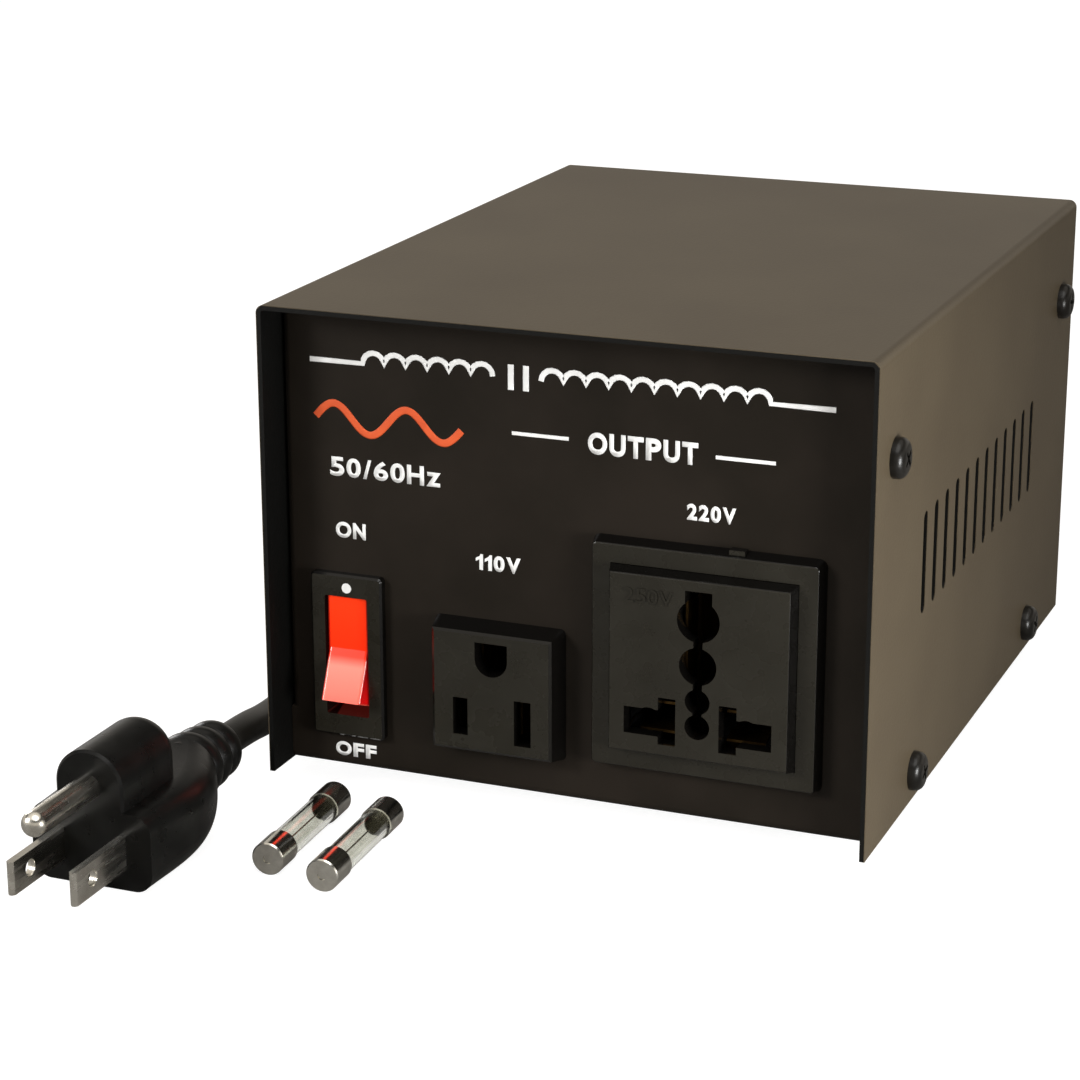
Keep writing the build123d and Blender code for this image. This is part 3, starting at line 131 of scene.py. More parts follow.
# Studio light: a pale surround with a dark ring above the horizon for the metal to
# mirror, and four soft round lamps. The left one shades the right of whatever stands
# proud, and the corner one stays below the case's top, so that the top can't mirror it
sky_light = 0.28
sky_warmth = (1.0, 0.93, 0.83, 1)


def ramp(finish, value, stops):
    """A colour ramp with stops given as (place, colour)."""
    node = add_node(finish, "ValToRGB")
    elements = node.color_ramp.elements
    while len(elements) < len(stops):
        elements.new(0.5)
    for element, (place, shade) in zip(elements, stops):
        element.position = place
        element.color = shade
    feed(finish, node.inputs["Fac"], value)
    return node.outputs["Color"]


def grey(level):
    """A plain light level as a colour."""
    return (level, level, level, 1)


surround = bpy.data.worlds.new("studio")
surround.use_nodes = True
bpy.context.scene.world = surround
surround_nodes = surround.node_tree.nodes
sky_seen = surround_nodes["Background"]
sky_seen.inputs["Color"].default_value = (1, 1, 1, 1)
sky_seen.inputs["Strength"].default_value = 1.0
sky_way = add_node(surround, "TexCoord")
sky_split = add_node(surround, "SeparateXYZ", Vector=sky_way.outputs["Generated"])
sky_low = grey(0.6)
sky_dark = grey(0.05)
sky_pale = grey(0.9)
sky_ring = ramp(
    surround,
    sky_split.outputs["Z"],
    [
        (0.0, sky_low),
        (0.4, sky_low),
        (0.47, sky_dark),
        (0.68, sky_dark),
        (0.76, sky_pale),
        (1.0, sky_pale),
    ],
)
sky_mirrored = either_ray(surround, "Is Glossy Ray", "Is Transmission Ray")
sky_strength = add_node(surround, "MapRange", Value=sky_mirrored, To_Min=sky_light, To_Max=sky_ring)
sky_lighting = add_node(surround, "Background", Color=sky_warmth, Strength=sky_strength.outputs["Result"])
sky_rays = add_node(surround, "LightPath")
sky_mix = add_node(surround, "MixShader", Fac=sky_rays.outputs["Is Camera Ray"])
feed(surround, sky_mix.inputs[1], sky_lighting.outputs["Background"])
feed(surround, sky_mix.inputs[2], sky_seen.outputs["Background"])
feed(surround, surround_nodes["World Output"].inputs["Surface"], sky_mix.outputs["Shader"])
for lamp_name, place, aim, width, power in (
    ("lamp_left", (-0.9, -0.95, 0.6), (-0.02, -0.07, 0.04), 0.45, 14.0),
    ("lamp_above", (0.14, -0.28, 0.6), (0.03, -0.07, 0.08), 0.55, 1.8),
    ("lamp_corner", (0.225, -0.16, 0.047), (0.06, -0.06, 0.055), 0.09, 0.7),
    ("lamp_rear", (-0.85, 0.5, 0.3), (0, 0.08, 0.05), 0.4, 2.5),
):
    lamp_data = bpy.data.lights.new(lamp_name, "AREA")
    lamp_data.shape = "DISK"
    lamp_data.size = width
    lamp_data.energy = power
    lamp = bpy.data.objects.new(lamp_name, lamp_data)
    bpy.context.scene.collection.objects.link(lamp)
    lamp_aim = (Vector(aim) - Vector(place)).to_track_quat("-Z", "Y")
    lamp.matrix_world = Matrix.Translation(place) @ lamp_aim.to_matrix().to_4x4()

# Power cord: a round black PVC cable, moulded into its bushing and its plug. It leaves
# the rear panel, lies in a flat coil behind the case, and runs round the case's left
# side to the plug. The places on its route are in millimetres
cord_diameter = 6.5 * MM
bushing_x = -45.0
bushing_z = 16.0
exit_y = 80.5
plug_x = -70.0
plug_z = 9.5
coil_turns = 3.75
coil_radius = 36.0
coil_pitch = 7.2
coil_y = 141.0
lower_z = 3.3
upper_z = lower_z + coil_pitch
drop_turns = 0.75
coil_points_per_turn = 16
coil_inner = coil_radius - coil_pitch * coil_turns / 4
coil_x = bushing_x + coil_radius + coil_pitch * coil_turns / 4


def coil_point(turn):
    """A point of the coil, which winds in on its upper layer and out on its lower one."""
    away = turn - coil_turns / 2
    radius = coil_inner + coil_pitch * abs(away)
    share = min(max(away / drop_turns + 0.5, 0), 1)
    height = lower_z + coil_pitch * (1 - share**2 * (3 - 2 * share))
    angle = math.pi - 2 * math.pi * turn
    return (coil_x + radius * math.cos(angle), coil_y + radius * math.sin(angle), height)


coil_steps = range(1, int(coil_turns * coil_points_per_turn))
lead_y = coil_y - coil_inner - coil_pitch * coil_turns / 2
cord_points = [
    (bushing_x, exit_y, bushing_z),
    (bushing_x, 102.0, bushing_z),
    (bushing_x, 123.0, upper_z),
    (bushing_x, 134.5, upper_z),
    (bushing_x, coil_y, upper_z),
    *(coil_point(step / coil_points_per_turn) for step in coil_steps),
    (coil_x, lead_y, lower_z),
    (coil_x - 6.5, lead_y, lower_z),
    (-26.0, lead_y, lower_z),
    (-43.6, lead_y - 2.1, lower_z),
    (-59.2, lead_y - 7.8, lower_z),
    (-71.6, lead_y - 17.0, lower_z),
    (-79.6, lead_y - 29.8, lower_z),
    (-83.3, 49.2, lower_z),
    (-82.3, 14.0, lower_z),
    (-77.0, -26.0, lower_z),
    (-75.6, -48.5, lower_z),
    (plug_x, -70.5, plug_z),
    (plug_x, -88.0, plug_z),
]
cord_curve = bpy.data.curves.new("power_cord", "CURVE")
cord_curve.dimensions = "3D"
cord_curve.bevel_depth = cord_diameter / 2
cord_curve.bevel_resolution = 6
cord_curve.use_fill_caps = True
cord_curve.resolution_u = 8
cord_line = cord_curve.splines.new("NURBS")
cord_line.points.add(len(cord_points) - 1)
for point, place in zip(cord_line.points, cord_points):
    point.co = (*(Vector(place) * MM), 1.0)
cord_line.order_u = 3
cord_line.use_endpoint_u = True
power_cord = bpy.data.objects.new("power_cord", cord_curve)
bpy.context.scene.collection.objects.link(power_cord)


def noise(finish, size, stretch=(1, 1, 1)):
    """Noise on Object coordinates whose features are about this many metres across."""
    place = add_node(finish, "TexCoord")
    mapping = add_node(finish, "Mapping", Vector=place.outputs["Object"], Scale=stretch)
    texture = add_node(finish, "TexNoise", Vector=mapping.outputs["Vector"], Scale=1 / size, Detail=3.0)
    return texture.outputs["Fac"]


def shades(finish, size, dark, pale, narrow=0.0):
    """A colour that drifts between two shades, over patches this many metres across."""
    stops = [(0.3 + narrow, colour(*dark)), (0.7 - narrow, colour(*pale))]
    return ramp(finish, noise(finish, size), stops)


def mottle(finish, shader, size, dark, pale, narrow=0.0):
    """Gives a shader a colour that drifts between two shades."""
    feed(finish, shader.inputs["Base Color"], shades(finish, size, dark, pale, narrow))


def relief(finish, shader, value, depth):
    """Bump of this depth in metres."""
    node = add_node(finish, "Bump", Height=value, Distance=depth)
    feed(finish, shader.inputs["Normal"], node.outputs["Normal"])


def dress(finish, *names):
    """Gives CAD nodes a finish."""
    for name in names:
        nodes[name].data.materials.clear()
        nodes[name].data.materials.append(finish)


cord_pvc, cord_shader = new_finish("black_pvc", 0.42, specular=0.3)
mottle(cord_pvc, cord_shader, 4 * MM, dark=(19, 19, 18), pale=(28, 28, 26))
relief(cord_pvc, cord_shader, noise(cord_pvc, 0.6 * MM), 0.02 * MM)
power_cord.data.materials.append(cord_pvc)
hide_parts("power_cord_tail", "power_cord_coil", "power_cord_lead")
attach(power_cord, "case")
dress(cord_pvc, "cord_bushing")

# Plug: a smooth glossy moulding over two stamped blades and a solid round pin, all of
# nickel-plated brass with faint marks of wear along their length


def levels(finish, size, low, high, stretch=(1, 1, 1)):
    """A number that drifts between two levels, over patches this many metres across."""
    value = noise(finish, size, stretch)
    node = add_node(finish, "MapRange", Value=value, From_Min=0.3, From_Max=0.7, To_Min=low, To_Max=high)
    return node.outputs["Result"]


def rub(finish, shader, size, low, high, stretch=(1, 1, 1)):
    """Gives a shader a roughness that drifts between two levels."""
    feed(finish, shader.inputs["Roughness"], levels(finish, size, low, high, stretch))


moulded_pvc, moulded_shader = new_finish("moulded_pvc", 0.3, specular=0.17)
mottle(moulded_pvc, moulded_shader, 5 * MM, dark=(13, 13, 12), pale=(19, 19, 18))
rub(moulded_pvc, moulded_shader, 3 * MM, low=0.26, high=0.36)
dress(moulded_pvc, "plug_body")
plated, plated_shader = new_finish("nickel_plate", 0.22, metallic=1.0)
mottle(plated, plated_shader, 3 * MM, dark=(198, 194, 184), pale=(226, 223, 214))
rub(plated, plated_shader, 1.5 * MM, low=0.16, high=0.34, stretch=(1, 0.1, 1))
dress(plated, "plug_blades", "plug_ground_pin")

# Chassis: floor, front panel and rear panel bent from one steel sheet, which is
# punched for its outlets first and painted a smooth black last
panel_black, panel_shader = new_finish("panel_black", 0.42, specular=0.14)
mottle(panel_black, panel_shader, 20 * MM, dark=(26, 22, 17), pale=(33, 28, 23), narrow=0.05)
relief(panel_black, panel_shader, noise(panel_black, 0.5 * MM), 0.01 * MM)
dress(panel_black, "chassis")

# Print on the front panel: white and orange ink, screened on after painting, so it
# stands a few hundredths of a millimetre proud
outlet_proud = 4.8 * MM
panel_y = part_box("outlet_body")[0][1] + outlet_proud
ink_depth = 0.04 * MM
white_ink, white_shader = new_finish("white_ink", 0.6)
mottle(white_ink, white_shader, 3 * MM, dark=(222, 222, 220), pale=(240, 240, 238))
orange_ink, orange_shader = new_finish("orange_ink", 0.6)
mottle(orange_ink, orange_shader, 3 * MM, dark=(205, 78, 32), pale=(222, 92, 40))


def finish_print(piece, name, ink):
    """Names a printed mesh, inks it and fixes it to the object."""
    piece.name = name
    piece.data.name = name
    piece.data.materials.clear()
    piece.data.materials.append(ink)
    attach(piece, "case")


def thicken(piece, depth):
    """Gives a flat print its depth, away from the face that it lies on."""
    layer = piece.modifiers.new("ink", "SOLIDIFY")
    layer.thickness = depth
    layer.offset = -1
    bpy.ops.object.modifier_apply(modifier="ink")


# Letter widths and the gap after each, as shares of a capital's height, and the
# outline of a one with a flag, which is drawn in place of the typeface's own
letter_width = {
    "O": 0.97,
    "U": 0.81,
    "T": 0.79,
    "P": 0.76,
    "N": 0.8,
    "F": 0.66,
    "V": 0.9,
    "H": 0.8,
    "1": 0.45,
    "/": 0.4,
}
other_width = 0.68
letter_gap = 0.11
small_height = 0.74
flagged_one = [(0.5, 0), (1, 0), (1, 1), (0.66, 1), (0.5, 0.86), (0, 0.73), (0, 0.53), (0.5, 0.66)]


def print_letter(letter, weight):
    """One flat letter, with its outline moved out by this share of its size."""
    bpy.ops.object.select_all(action="DESELECT")
    bpy.ops.object.text_add(location=(0, 0, 0))
    piece = bpy.context.object
    piece.data.body = letter
    piece.data.offset = weight
    piece.data.resolution_u = 6
    bpy.ops.object.convert(target="MESH")
    if letter == "1":
        shape = bmesh.new()
        shape.faces.new([shape.verts.new((x, y, 0)) for x, y in flagged_one])
        shape.to_mesh(piece.data)
        shape.free()
    return piece


def print_text(name, words, low, high, face_y=panel_y, depth=ink_depth, ink=white_ink, weight=0.045):
    """Letters that fill a box on the panel, given by its corners (x, z) in millimetres."""
    widths = [letter_width.get(letter, other_width) for letter in words]
    whole = sum(widths) + letter_gap * (len(words) - 1)
    start = 0
    letters = []
    for letter, width in zip(words, widths):
        piece = print_letter(letter, weight)
        xs = [v.co.x for v in piece.data.vertices]
        ys = [v.co.y for v in piece.data.vertices]
        height = small_height if letter.islower() else 1.0
        for vertex in piece.data.vertices:
            across = (start + width * (vertex.co.x - min(xs)) / (max(xs) - min(xs))) / whole
            up = height * (vertex.co.y - min(ys)) / (max(ys) - min(ys))
            x = low[0] + across * (high[0] - low[0])
            z = low[1] + up * (high[1] - low[1])
            vertex.co = (x * MM, face_y - depth, z * MM)
        start += width + letter_gap
        letters.append(piece)
    bpy.ops.object.select_all(action="DESELECT")
    for piece in letters:
        piece.select_set(True)
    bpy.context.view_layer.objects.active = letters[0]
    bpy.ops.object.join()
    piece = bpy.context.object
    thicken(piece, depth)
    bpy.ops.object.mode_set(mode="EDIT")
    bpy.ops.mesh.select_all(action="SELECT")
    bpy.ops.mesh.normals_make_consistent(inside=False)
    bpy.ops.object.mode_set(mode="OBJECT")
    finish_print(piece, name, ink)


def print_stroke(name, points, width, ink=white_ink):
    """A flat line of even width on the panel through points (x, z) in millimetres."""
    curve = bpy.data.curves.new(name, "CURVE")
    curve.dimensions = "3D"
    line = curve.splines.new("POLY")
    line.points.add(len(points) - 1)
    for point, (x, z) in zip(line.points, points):
        point.co = (x * MM, panel_y - ink_depth / 2, z * MM, 1)
    curve.twist_mode = "Z_UP"
    curve.bevel_mode = "ROUND"
    curve.bevel_depth = width / 2 * MM
    curve.bevel_resolution = 2
    curve.use_fill_caps = True
    piece = bpy.data.objects.new(name, curve)
    bpy.context.scene.collection.objects.link(piece)
    bpy.ops.object.select_all(action="DESELECT")
    bpy.context.view_layer.objects.active = piece
    piece.select_set(True)
    bpy.ops.object.convert(target="MESH")
    for vertex in piece.data.vertices:
        out = panel_y - vertex.co.y
        vertex.co.y = panel_y - ink_depth * min(max(out / ink_depth, 0), 1)
    finish_print(piece, name, ink)


print_text("label_output", "OUTPUT", (3.2, 73.7), (24.5, 77.9))
print_text("label_220", "220V", (22.5, 63.3), (31.9, 66.4))
print_text("label_110", "110V", (-19.3, 48.8), (-10.2, 51.9))
print_text("label_on", "ON", (-48.4, 51.8), (-42.1, 55.0))
print_text("label_off", "OFF", (-49.5, 7.1), (-40.75, 10.0))
print_text("label_rating", "50/60Hz", (-49.3, 64.0), (-26.3, 67.8), weight=0.03)
print_stroke("output_rule_left", [(-11.85, 76.1), (-0.54, 76.1)], 0.75)
print_stroke("output_rule_right", [(27.85, 75.6), (39.14, 75.6)], 0.75)

wave_left = -52.0
wave_width = 30.0
wave_middle_z = 75.5
wave_rise = 2.8
wave_cycles = 2
wave_steps = 60
wave_points = []
for step in range(wave_steps + 1):
    share = step / wave_steps
    rise = wave_rise * math.sin(2 * math.pi * wave_cycles * share)
    wave_points.append((wave_left + wave_width * share, wave_middle_z + rise))
print_stroke("wave_sign", wave_points, 1.5, orange_ink)

diagram_z = 86.5
diagram_line = 1.1
hump_radius = 2.2
hump_steps = 8
core_rise = 2.6
core_line = 1.2


def winding(start, humps):
    """The humps of a winding in a circuit diagram, from left to right."""
    points = []
    for hump in range(humps):
        middle = start + hump_radius * (2 * hump + 1)
        for step in range(hump_steps + 1):
            angle = math.pi * step / hump_steps
            rise = hump_radius * math.sin(angle)
            points.append((middle - hump_radius * math.cos(angle), diagram_z + rise))
    return points


print_stroke("diagram_input", [(-53.0, diagram_z), *winding(-42.0, 6)], diagram_line)
print_stroke("diagram_output", [*winding(-6.0, 10), (50.0, diagram_z)], diagram_line)
for core_name, core_x in (("diagram_core_left", -12.0), ("diagram_core_right", -9.0)):
    core_ends = [(core_x, diagram_z - hump_radius), (core_x, diagram_z + core_rise)]
    print_stroke(core_name, core_ends, core_line)

# Feet: four turned rubber bumpers under the chassis, each held by a zinc-plated screw
# and nut. The other zinc-plated fasteners and fittings have the same finish
foot_rubber, foot_shader = new_finish("foot_rubber", 0.75)
mottle(foot_rubber, foot_shader, 2 * MM, dark=(24, 24, 23), pale=(38, 37, 35))
relief(foot_rubber, foot_shader, noise(foot_rubber, 0.6 * MM), 0.03 * MM)
dress(foot_rubber, "feet")
zinc, zinc_shader = new_finish("zinc_plate", 0.35, metallic=1.0)
mottle(zinc, zinc_shader, 4 * MM, dark=(160, 160, 155), pale=(192, 192, 186))
rub(zinc, zinc_shader, 1 * MM, low=0.25, high=0.5)
dress(zinc, "foot_screws", "foot_nuts", "transformer_bolts", "transformer_nuts", "core_strap")
dress(zinc, "earth_bolt", "earth_lug", "earth_nut", "selector_plate", "selector_screws")

# Transformer: stacks of varnished steel sheets shaped as E and I round a nylon bobbin,
# with two windings of enamelled copper wire under yellow tape. A strap and two bolts
# hold it to the chassis floor
sheet_scale = 314.0
wire_scale = 160.0


def lay_lines(finish, shader, direction, scale, dark, pale, depth):
    """Fine lines side by side along one direction, in colour and in relief."""
    place = add_node(finish, "TexCoord")
    lines = add_node(finish, "TexWave", Vector=place.outputs["Object"], Scale=scale)
    lines.bands_direction = direction
    tone = ramp(finish, lines.outputs["Fac"], [(0.1, colour(*dark)), (0.6, colour(*pale))])
    feed(finish, shader.inputs["Base Color"], tone)
    relief(finish, shader, lines.outputs["Fac"], depth)


lamination, lamination_shader = new_finish("lamination", 0.5, metallic=0.6)
lay_lines(lamination, lamination_shader, "Y", sheet_scale, (52, 50, 48), (110, 106, 101), 0.08 * MM)
dress(lamination, "core_e_stack", "core_i_stack")
nylon, nylon_shader = new_finish("nylon", 0.45)
mottle(nylon, nylon_shader, 6 * MM, dark=(214, 207, 190), pale=(228, 222, 206))
dress(nylon, "bobbin")
copper, copper_shader = new_finish("enamelled_copper", 0.3, metallic=1.0)
lay_lines(copper, copper_shader, "Z", wire_scale, (90, 40, 16), (190, 104, 52), 0.3 * MM)
dress(copper, "inner_winding", "outer_winding")
tape, tape_shader = new_finish("polyester_tape", 0.3)
mottle(tape, tape_shader, 8 * MM, dark=(214, 172, 40), pale=(232, 192, 60))
dress(tape, "winding_tape")

# Black mouldings: outlet fronts and bezel with a satin face, and polished flanks and
# holes with painted shade, near black. Their backs, the fuse holder and the selector's
# housing are duller, and the clips and tabs in them are stamped brass
# Painted shade: flanks and hole walls, which face away from the front, are coloured near black
flank_painted_shade = colour(9, 8, 7)
flank_roughness = 0.1
flank_normal = -0.75
face_normal = -0.95


def mix(finish, kind, share, first, second):
    """Goes from the first value to the second as the share goes from 0 to 1."""
    node = add_node(finish, "Mix")
    node.data_type = kind
    feed(finish, node.inputs["Factor"], share)
    feed(finish, node.inputs["A"], first)
    feed(finish, node.inputs["B"], second)
    return node.outputs["Result"]


gloss_black, gloss_shader = new_finish("gloss_black", 0.28, specular=0.35)
gloss_place = add_node(gloss_black, "TexCoord")
gloss_split = add_node(gloss_black, "SeparateXYZ", Vector=gloss_place.outputs["Normal"])
gloss_range = add_node(gloss_black, "MapRange", From_Min=flank_normal, From_Max=face_normal)
feed(gloss_black, gloss_range.inputs["Value"], gloss_split.outputs["Y"])
gloss_front = gloss_range.outputs["Result"]
face_colour = shades(gloss_black, 10 * MM, dark=(28, 26, 20), pale=(34, 32, 26))
gloss_colour = mix(gloss_black, "RGBA", gloss_front, flank_painted_shade, face_colour)
feed(gloss_black, gloss_shader.inputs["Base Color"], gloss_colour)
face_roughness = levels(gloss_black, 4 * MM, low=0.22, high=0.34)
gloss_roughness = mix(gloss_black, "FLOAT", gloss_front, flank_roughness, face_roughness)
feed(gloss_black, gloss_shader.inputs["Roughness"], gloss_roughness)
relief(gloss_black, gloss_shader, noise(gloss_black, 0.8 * MM), 0.004 * MM)
dress(gloss_black, "switch_housing", "outlet_body", "square_outlet_frame", "square_outlet_face")
dull_black, dull_shader = new_finish("dull_black", 0.6)
mottle(dull_black, dull_shader, 6 * MM, dark=(26, 25, 24), pale=(38, 37, 35))
relief(dull_black, dull_shader, noise(dull_black, 0.6 * MM), 0.02 * MM)
dress(dull_black, "outlet_back", "square_outlet_housing", "fuse_holder_body", "fuse_holder_nut")
dress(dull_black, "fuse_cap", "selector_housing")
# Brass painted darker than bare brass, as the shade inside the outlet holes
brass, brass_shader = new_finish("brass", 0.32, metallic=1.0)
mottle(brass, brass_shader, 3 * MM, dark=(72, 55, 30), pale=(98, 76, 42))
dress(brass, "switch_tabs", "outlet_line_clip", "outlet_neutral_clip", "outlet_earth_clip")
dress(brass, "square_outlet_earth_clip", "square_outlet_line_clip", "square_outlet_neutral_clip")
dress(brass, "fuse_holder_contacts", "selector_tabs")

# Rocker: a hollow lens moulded in clear red plastic, which turns in the bezel over a
# neon lamp that is lit while the switch is on. Its pressed half shows full red, the
# half that stands out has a painted highlight in pale pink, and its cheeks have painted
# shade in dark red
cheek_shade_start = 3.75 * MM
cheek_shade_end = 4.1 * MM
rocker_low, rocker_high = (Vector(corner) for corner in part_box("rocker"))
rocker_middle = (rocker_low.x + rocker_high.x) / 2
lens_red, lens_shader = new_finish("lit_red_lens", 0.18)
lens_place = add_node(lens_red, "TexCoord")
lens_split = add_node(lens_red, "SeparateXYZ", Vector=lens_place.outputs["Object"])
lens_range = add_node(lens_red, "MapRange", From_Min=rocker_low.z, From_Max=rocker_high.z)
feed(lens_red, lens_range.inputs["Value"], lens_split.outputs["Z"])
lens_height = lens_range.outputs["Result"]
# Lower half of the lens: painted highlight in pale pink. Upper half: full red
lens_red_and_highlight = ramp(
    lens_red,
    lens_height,
    [
        (0.0, colour(226, 70, 58)),
        (0.2, colour(234, 104, 88)),
        (0.42, colour(236, 122, 106)),
        (0.5, colour(236, 44, 14)),
        (1.0, colour(240, 54, 18)),
    ],
)
# Painted shade in dark red on the lens's cheeks
lens_cheek_shade = ramp(
    lens_red,
    lens_height,
    [
        (0.0, colour(205, 12, 14)),
        (0.35, colour(130, 9, 9)),
        (1.0, colour(78, 8, 7)),
    ],
)
lens_across = reckon(lens_red, "SUBTRACT", lens_split.outputs["X"], rocker_middle)
lens_away = reckon(lens_red, "ABSOLUTE", lens_across)
cheek_shade_share = add_node(lens_red, "MapRange", Value=lens_away, From_Min=cheek_shade_start, From_Max=cheek_shade_end)
lens_colour = mix(lens_red, "RGBA", cheek_shade_share.outputs["Result"], lens_red_and_highlight, lens_cheek_shade)
feed(lens_red, lens_shader.inputs["Base Color"], lens_colour)
# The lens glows in these colours, painted highlight and painted shade included
feed(lens_red, lens_shader.inputs["Emission Color"], lens_colour)
lens_shader.inputs["Emission Strength"].default_value = 0.35
dress(lens_red, "rocker")
lamp_glow, lamp_shader = new_finish("neon_glow", 0.1)
lamp_colour = shades(lamp_glow, 2 * MM, dark=(255, 104, 44), pale=(255, 150, 90))
feed(lamp_glow, lamp_shader.inputs["Base Color"], lamp_colour)
feed(lamp_glow, lamp_shader.inputs["Emission Color"], lamp_colour)
lamp_shader.inputs["Emission Strength"].default_value = 3.0
dress(lamp_glow, "switch_lamp")

# Selector: a slider moulded in red plastic with a grip notch, behind the window of a
# zinc-plated plate at the rear
slider_red, slider_shader = new_finish("slider_red", 0.4)
mottle(slider_red, slider_shader, 3 * MM, dark=(158, 20, 17), pale=(186, 28, 23))
rub(slider_red, slider_shader, 1 * MM, low=0.34, high=0.48)
dress(slider_red, "selector_slider")

# Mark on the switch's bezel: a filled white dot above the rocker, printed on the
# plastic with the panel's white ink
dot_radius = 1.0 * MM
dot_place = (-45.6 * MM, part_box("switch_housing")[0][1] - ink_depth, 42.3 * MM)
upright = (math.pi / 2, 0, 0)
bpy.ops.object.select_all(action="DESELECT")
bpy.ops.mesh.primitive_circle_add(vertices=32, radius=dot_radius, fill_type="NGON", rotation=upright)
bezel_dot = bpy.context.object
bezel_dot.location = dot_place
bpy.ops.object.transform_apply(location=True, rotation=True, scale=True)
thicken(bezel_dot, ink_depth)
finish_print(bezel_dot, "bezel_dot", white_ink)

# Moulding mark on the square outlet: raised figures in its own black plastic, made in
# the mould together with the face
mark_depth = 0.18 * MM
square_face_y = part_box("square_outlet_face")[0][1]
mark_low = (12.4, 48.2)
mark_high = (22.0, 51.0)
print_text("square_outlet_rating", "250V", mark_low, mark_high, square_face_y, mark_depth, gloss_black, 0.0)

# Cover: top and side walls folded from one steel sheet with punched vents, pushed over
# the chassis. It has a fine satin powder coat outside, and painted shade, near black, on
# its inner faces and cut edges
shade_start_depth = 0.15 * MM
fold_depth = 1.25 * MM
cover_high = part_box("cover")[1]
cover_paint, cover_shader = new_finish("cover_paint", 0.45, specular=0.24)
outer_colour = shades(cover_paint, 30 * MM, dark=(72, 63, 49), pale=(78, 69, 54))
# Painted shade, near black, on the cover's inner faces and cut edges
inner_painted_shade = colour(5, 5, 4)
cover_place = add_node(cover_paint, "TexCoord")
cover_split = add_node(cover_paint, "SeparateXYZ", Vector=cover_place.outputs["Object"])
cover_up = cover_split.outputs["Z"]
cover_across = reckon(cover_paint, "ABSOLUTE", cover_split.outputs["X"])
cover_corner = reckon(cover_paint, "ADD", cover_across, cover_up)
fold_start = cover_high[0] + cover_high[2] - fold_depth
cover_sides = reckon(cover_paint, "GREATER_THAN", cover_across, cover_high[0] - shade_start_depth)
cover_top = reckon(cover_paint, "GREATER_THAN", cover_up, cover_high[2] - shade_start_depth)
cover_fold = reckon(cover_paint, "GREATER_THAN", cover_corner, fold_start)
cover_faces = reckon(cover_paint, "MAXIMUM", cover_sides, cover_top)
cover_outside = reckon(cover_paint, "MAXIMUM", cover_faces, cover_fold)
cover_colour = mix(cover_paint, "RGBA", cover_outside, inner_painted_shade, outer_colour)
feed(cover_paint, cover_shader.inputs["Base Color"], cover_colour)
relief(cover_paint, cover_shader, noise(cover_paint, 0.7 * MM), 0.04 * MM)
dress(cover_paint, "cover")

# Cover screws: black steel pan heads with a cross recess, cold headed and turned in
# through the cover into the chassis flanges, each to its own angle
screw_head = 7.6 * MM
screw_height = 2.5 * MM
screw_round = 1.7 * MM
screw_shank = 3.9 * MM
screw_length = 7.0 * MM
screw_sides = 40
round_steps = 7
smooth_below = math.radians(35)
cross_size = (3.6 * MM, 0.75 * MM, 2.0 * MM)
cross_lift = 0.1 * MM
first_angle = 25
next_angle = 37
side_angle = 15
screw_spots = [(-66.5, 78.0), (66.5, 78.0), (-46.0, 11.0), (46.0, 11.0)]


def pick(piece, kind, wanted):
    """Selects only the faces or edges of a piece in edit mode that pass a test."""
    mesh = bmesh.from_edit_mesh(piece.data)
    for part in (*mesh.faces, *mesh.edges, *mesh.verts):
        part.select_set(False)
    for part in getattr(mesh, kind):
        if wanted(part):
            part.select_set(True)
    bmesh.update_edit_mesh(piece.data)


bpy.ops.object.select_all(action="DESELECT")
bpy.ops.mesh.primitive_cylinder_add(vertices=screw_sides, radius=screw_head / 2, depth=screw_height)
screw = bpy.context.object
screw.location.z = screw_height / 2
bpy.ops.object.transform_apply(location=True)
bpy.ops.object.mode_set(mode="EDIT")
pick(screw, "edges", lambda edge: all(v.co.z > screw_height * 0.9 for v in edge.verts))
bpy.ops.mesh.bevel(offset=screw_round, segments=round_steps, profile=0.5)
pick(screw, "faces", lambda face: face.normal.z < -0.9)
bpy.ops.mesh.inset(thickness=(screw_head - screw_shank) / 2)
bpy.ops.mesh.extrude_region_move(TRANSFORM_OT_translate={"value": (0, 0, -screw_length)})
bpy.ops.object.mode_set(mode="OBJECT")
bpy.ops.object.select_all(action="DESELECT")
cutters = []
for quarter in (0, 1):
    bpy.ops.mesh.primitive_cube_add(size=1.0, rotation=(0, 0, quarter * math.pi / 2))
    blade = bpy.context.object
    blade.scale = cross_size
    blade.location.z = screw_height + cross_lift
    bpy.ops.object.transform_apply(location=True, rotation=True, scale=True)
    cutters.append(blade)
bpy.context.view_layer.objects.active = screw
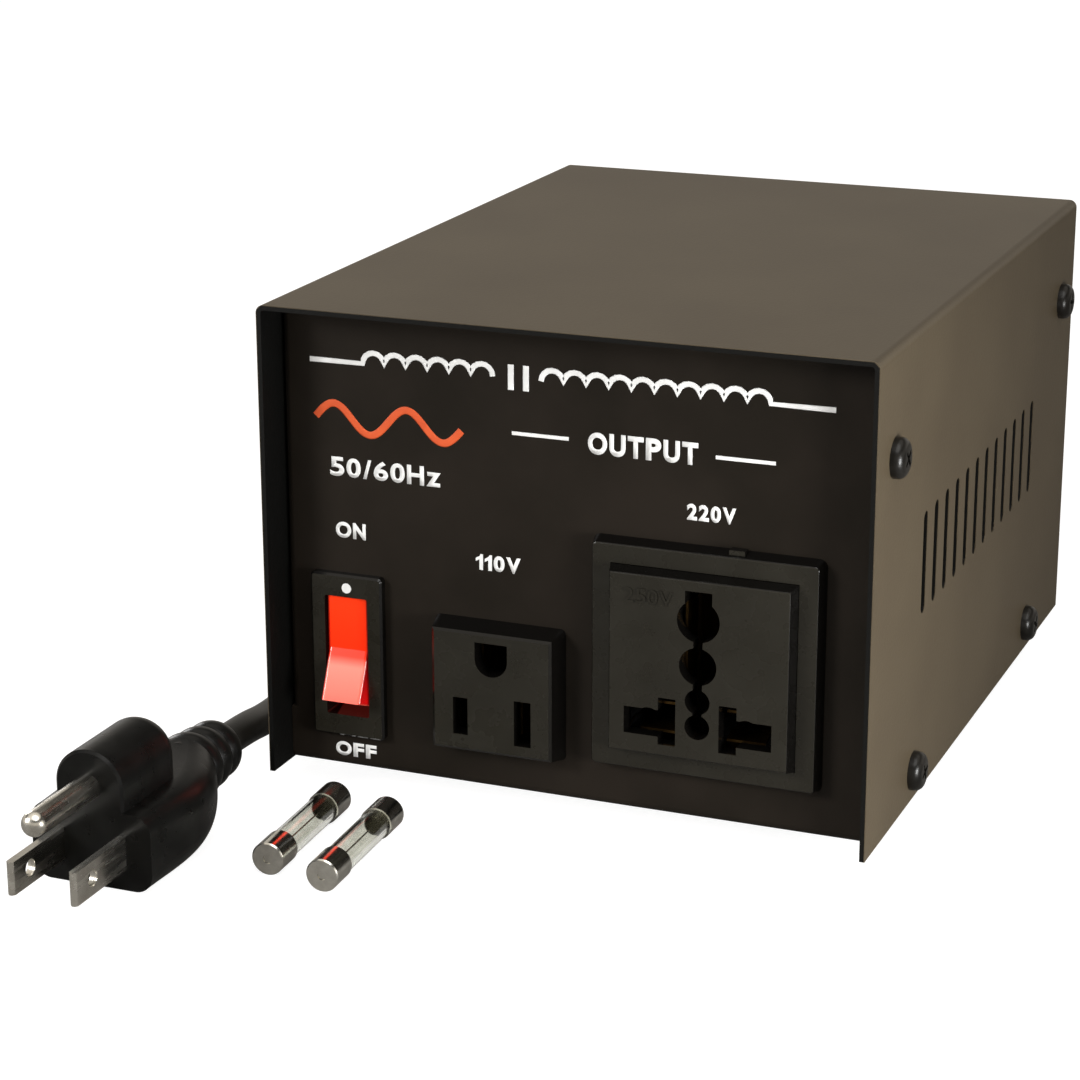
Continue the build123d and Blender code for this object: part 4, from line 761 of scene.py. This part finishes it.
for cutter in cutters:
    cross = screw.modifiers.new("cross", "BOOLEAN")
    cross.operation = "DIFFERENCE"
    cross.object = cutter
    cross.solver = "EXACT"
    bpy.ops.object.modifier_apply(modifier="cross")
    bpy.data.objects.remove(cutter)
screw.select_set(True)
bpy.ops.object.shade_smooth_by_angle(angle=smooth_below)

screw_steel, screw_shader = new_finish("black_screw_steel", 0.3, metallic=0.1, specular=0.3)
mottle(screw_steel, screw_shader, 2 * MM, dark=(15, 14, 12), pale=(26, 24, 21))
relief(screw_steel, screw_shader, noise(screw_steel, 0.6 * MM), 0.02 * MM)
case_half = max(abs(v.co.x) for v in nodes["cover"].data.vertices)
for side, side_name in ((-1, "left"), (1, "right")):
    for number, (y, z) in enumerate(screw_spots):
        copy = screw.copy()
        copy.data = screw.data.copy()
        bpy.context.scene.collection.objects.link(copy)
        lean = Matrix.Rotation(side * math.pi / 2, 4, "Y")
        twist_angle = math.radians(first_angle + next_angle * number + side_angle * side)
        twist = Matrix.Rotation(twist_angle, 4, "Z")
        place = Matrix.Translation((side * case_half, y * MM, z * MM))
        copy.data.transform(place @ lean @ twist)
        copy.name = f"cover_screw_{side_name}_{number + 1}"
        copy.data.materials.clear()
        copy.data.materials.append(screw_steel)
        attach(copy, "case")
bpy.data.objects.remove(screw)
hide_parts("cover_screws")

# Fuses: clear glass tubes with tinned caps pressed on their ends and a thin wire
# between them, one in its holder at the rear and two spare ones on the floor
clear_glass, glass_shader = new_finish("clear_glass", 0.03)
glass_shader.inputs["Transmission Weight"].default_value = 1.0
glass_shader.inputs["IOR"].default_value = 1.47
mottle(clear_glass, glass_shader, 3 * MM, dark=(222, 222, 213), pale=(234, 234, 227))
tinned, tinned_shader = new_finish("tinned_cap", 0.2, metallic=1.0)
mottle(tinned, tinned_shader, 2 * MM, dark=(205, 203, 194), pale=(232, 230, 222))
rub(tinned, tinned_shader, 1.2 * MM, low=0.14, high=0.24)
for fuse_name in ("fuse", "spare_fuse_1", "spare_fuse_2"):
    dress(clear_glass, f"{fuse_name}_glass")
    dress(tinned, f"{fuse_name}_end_caps", f"{fuse_name}_wire")
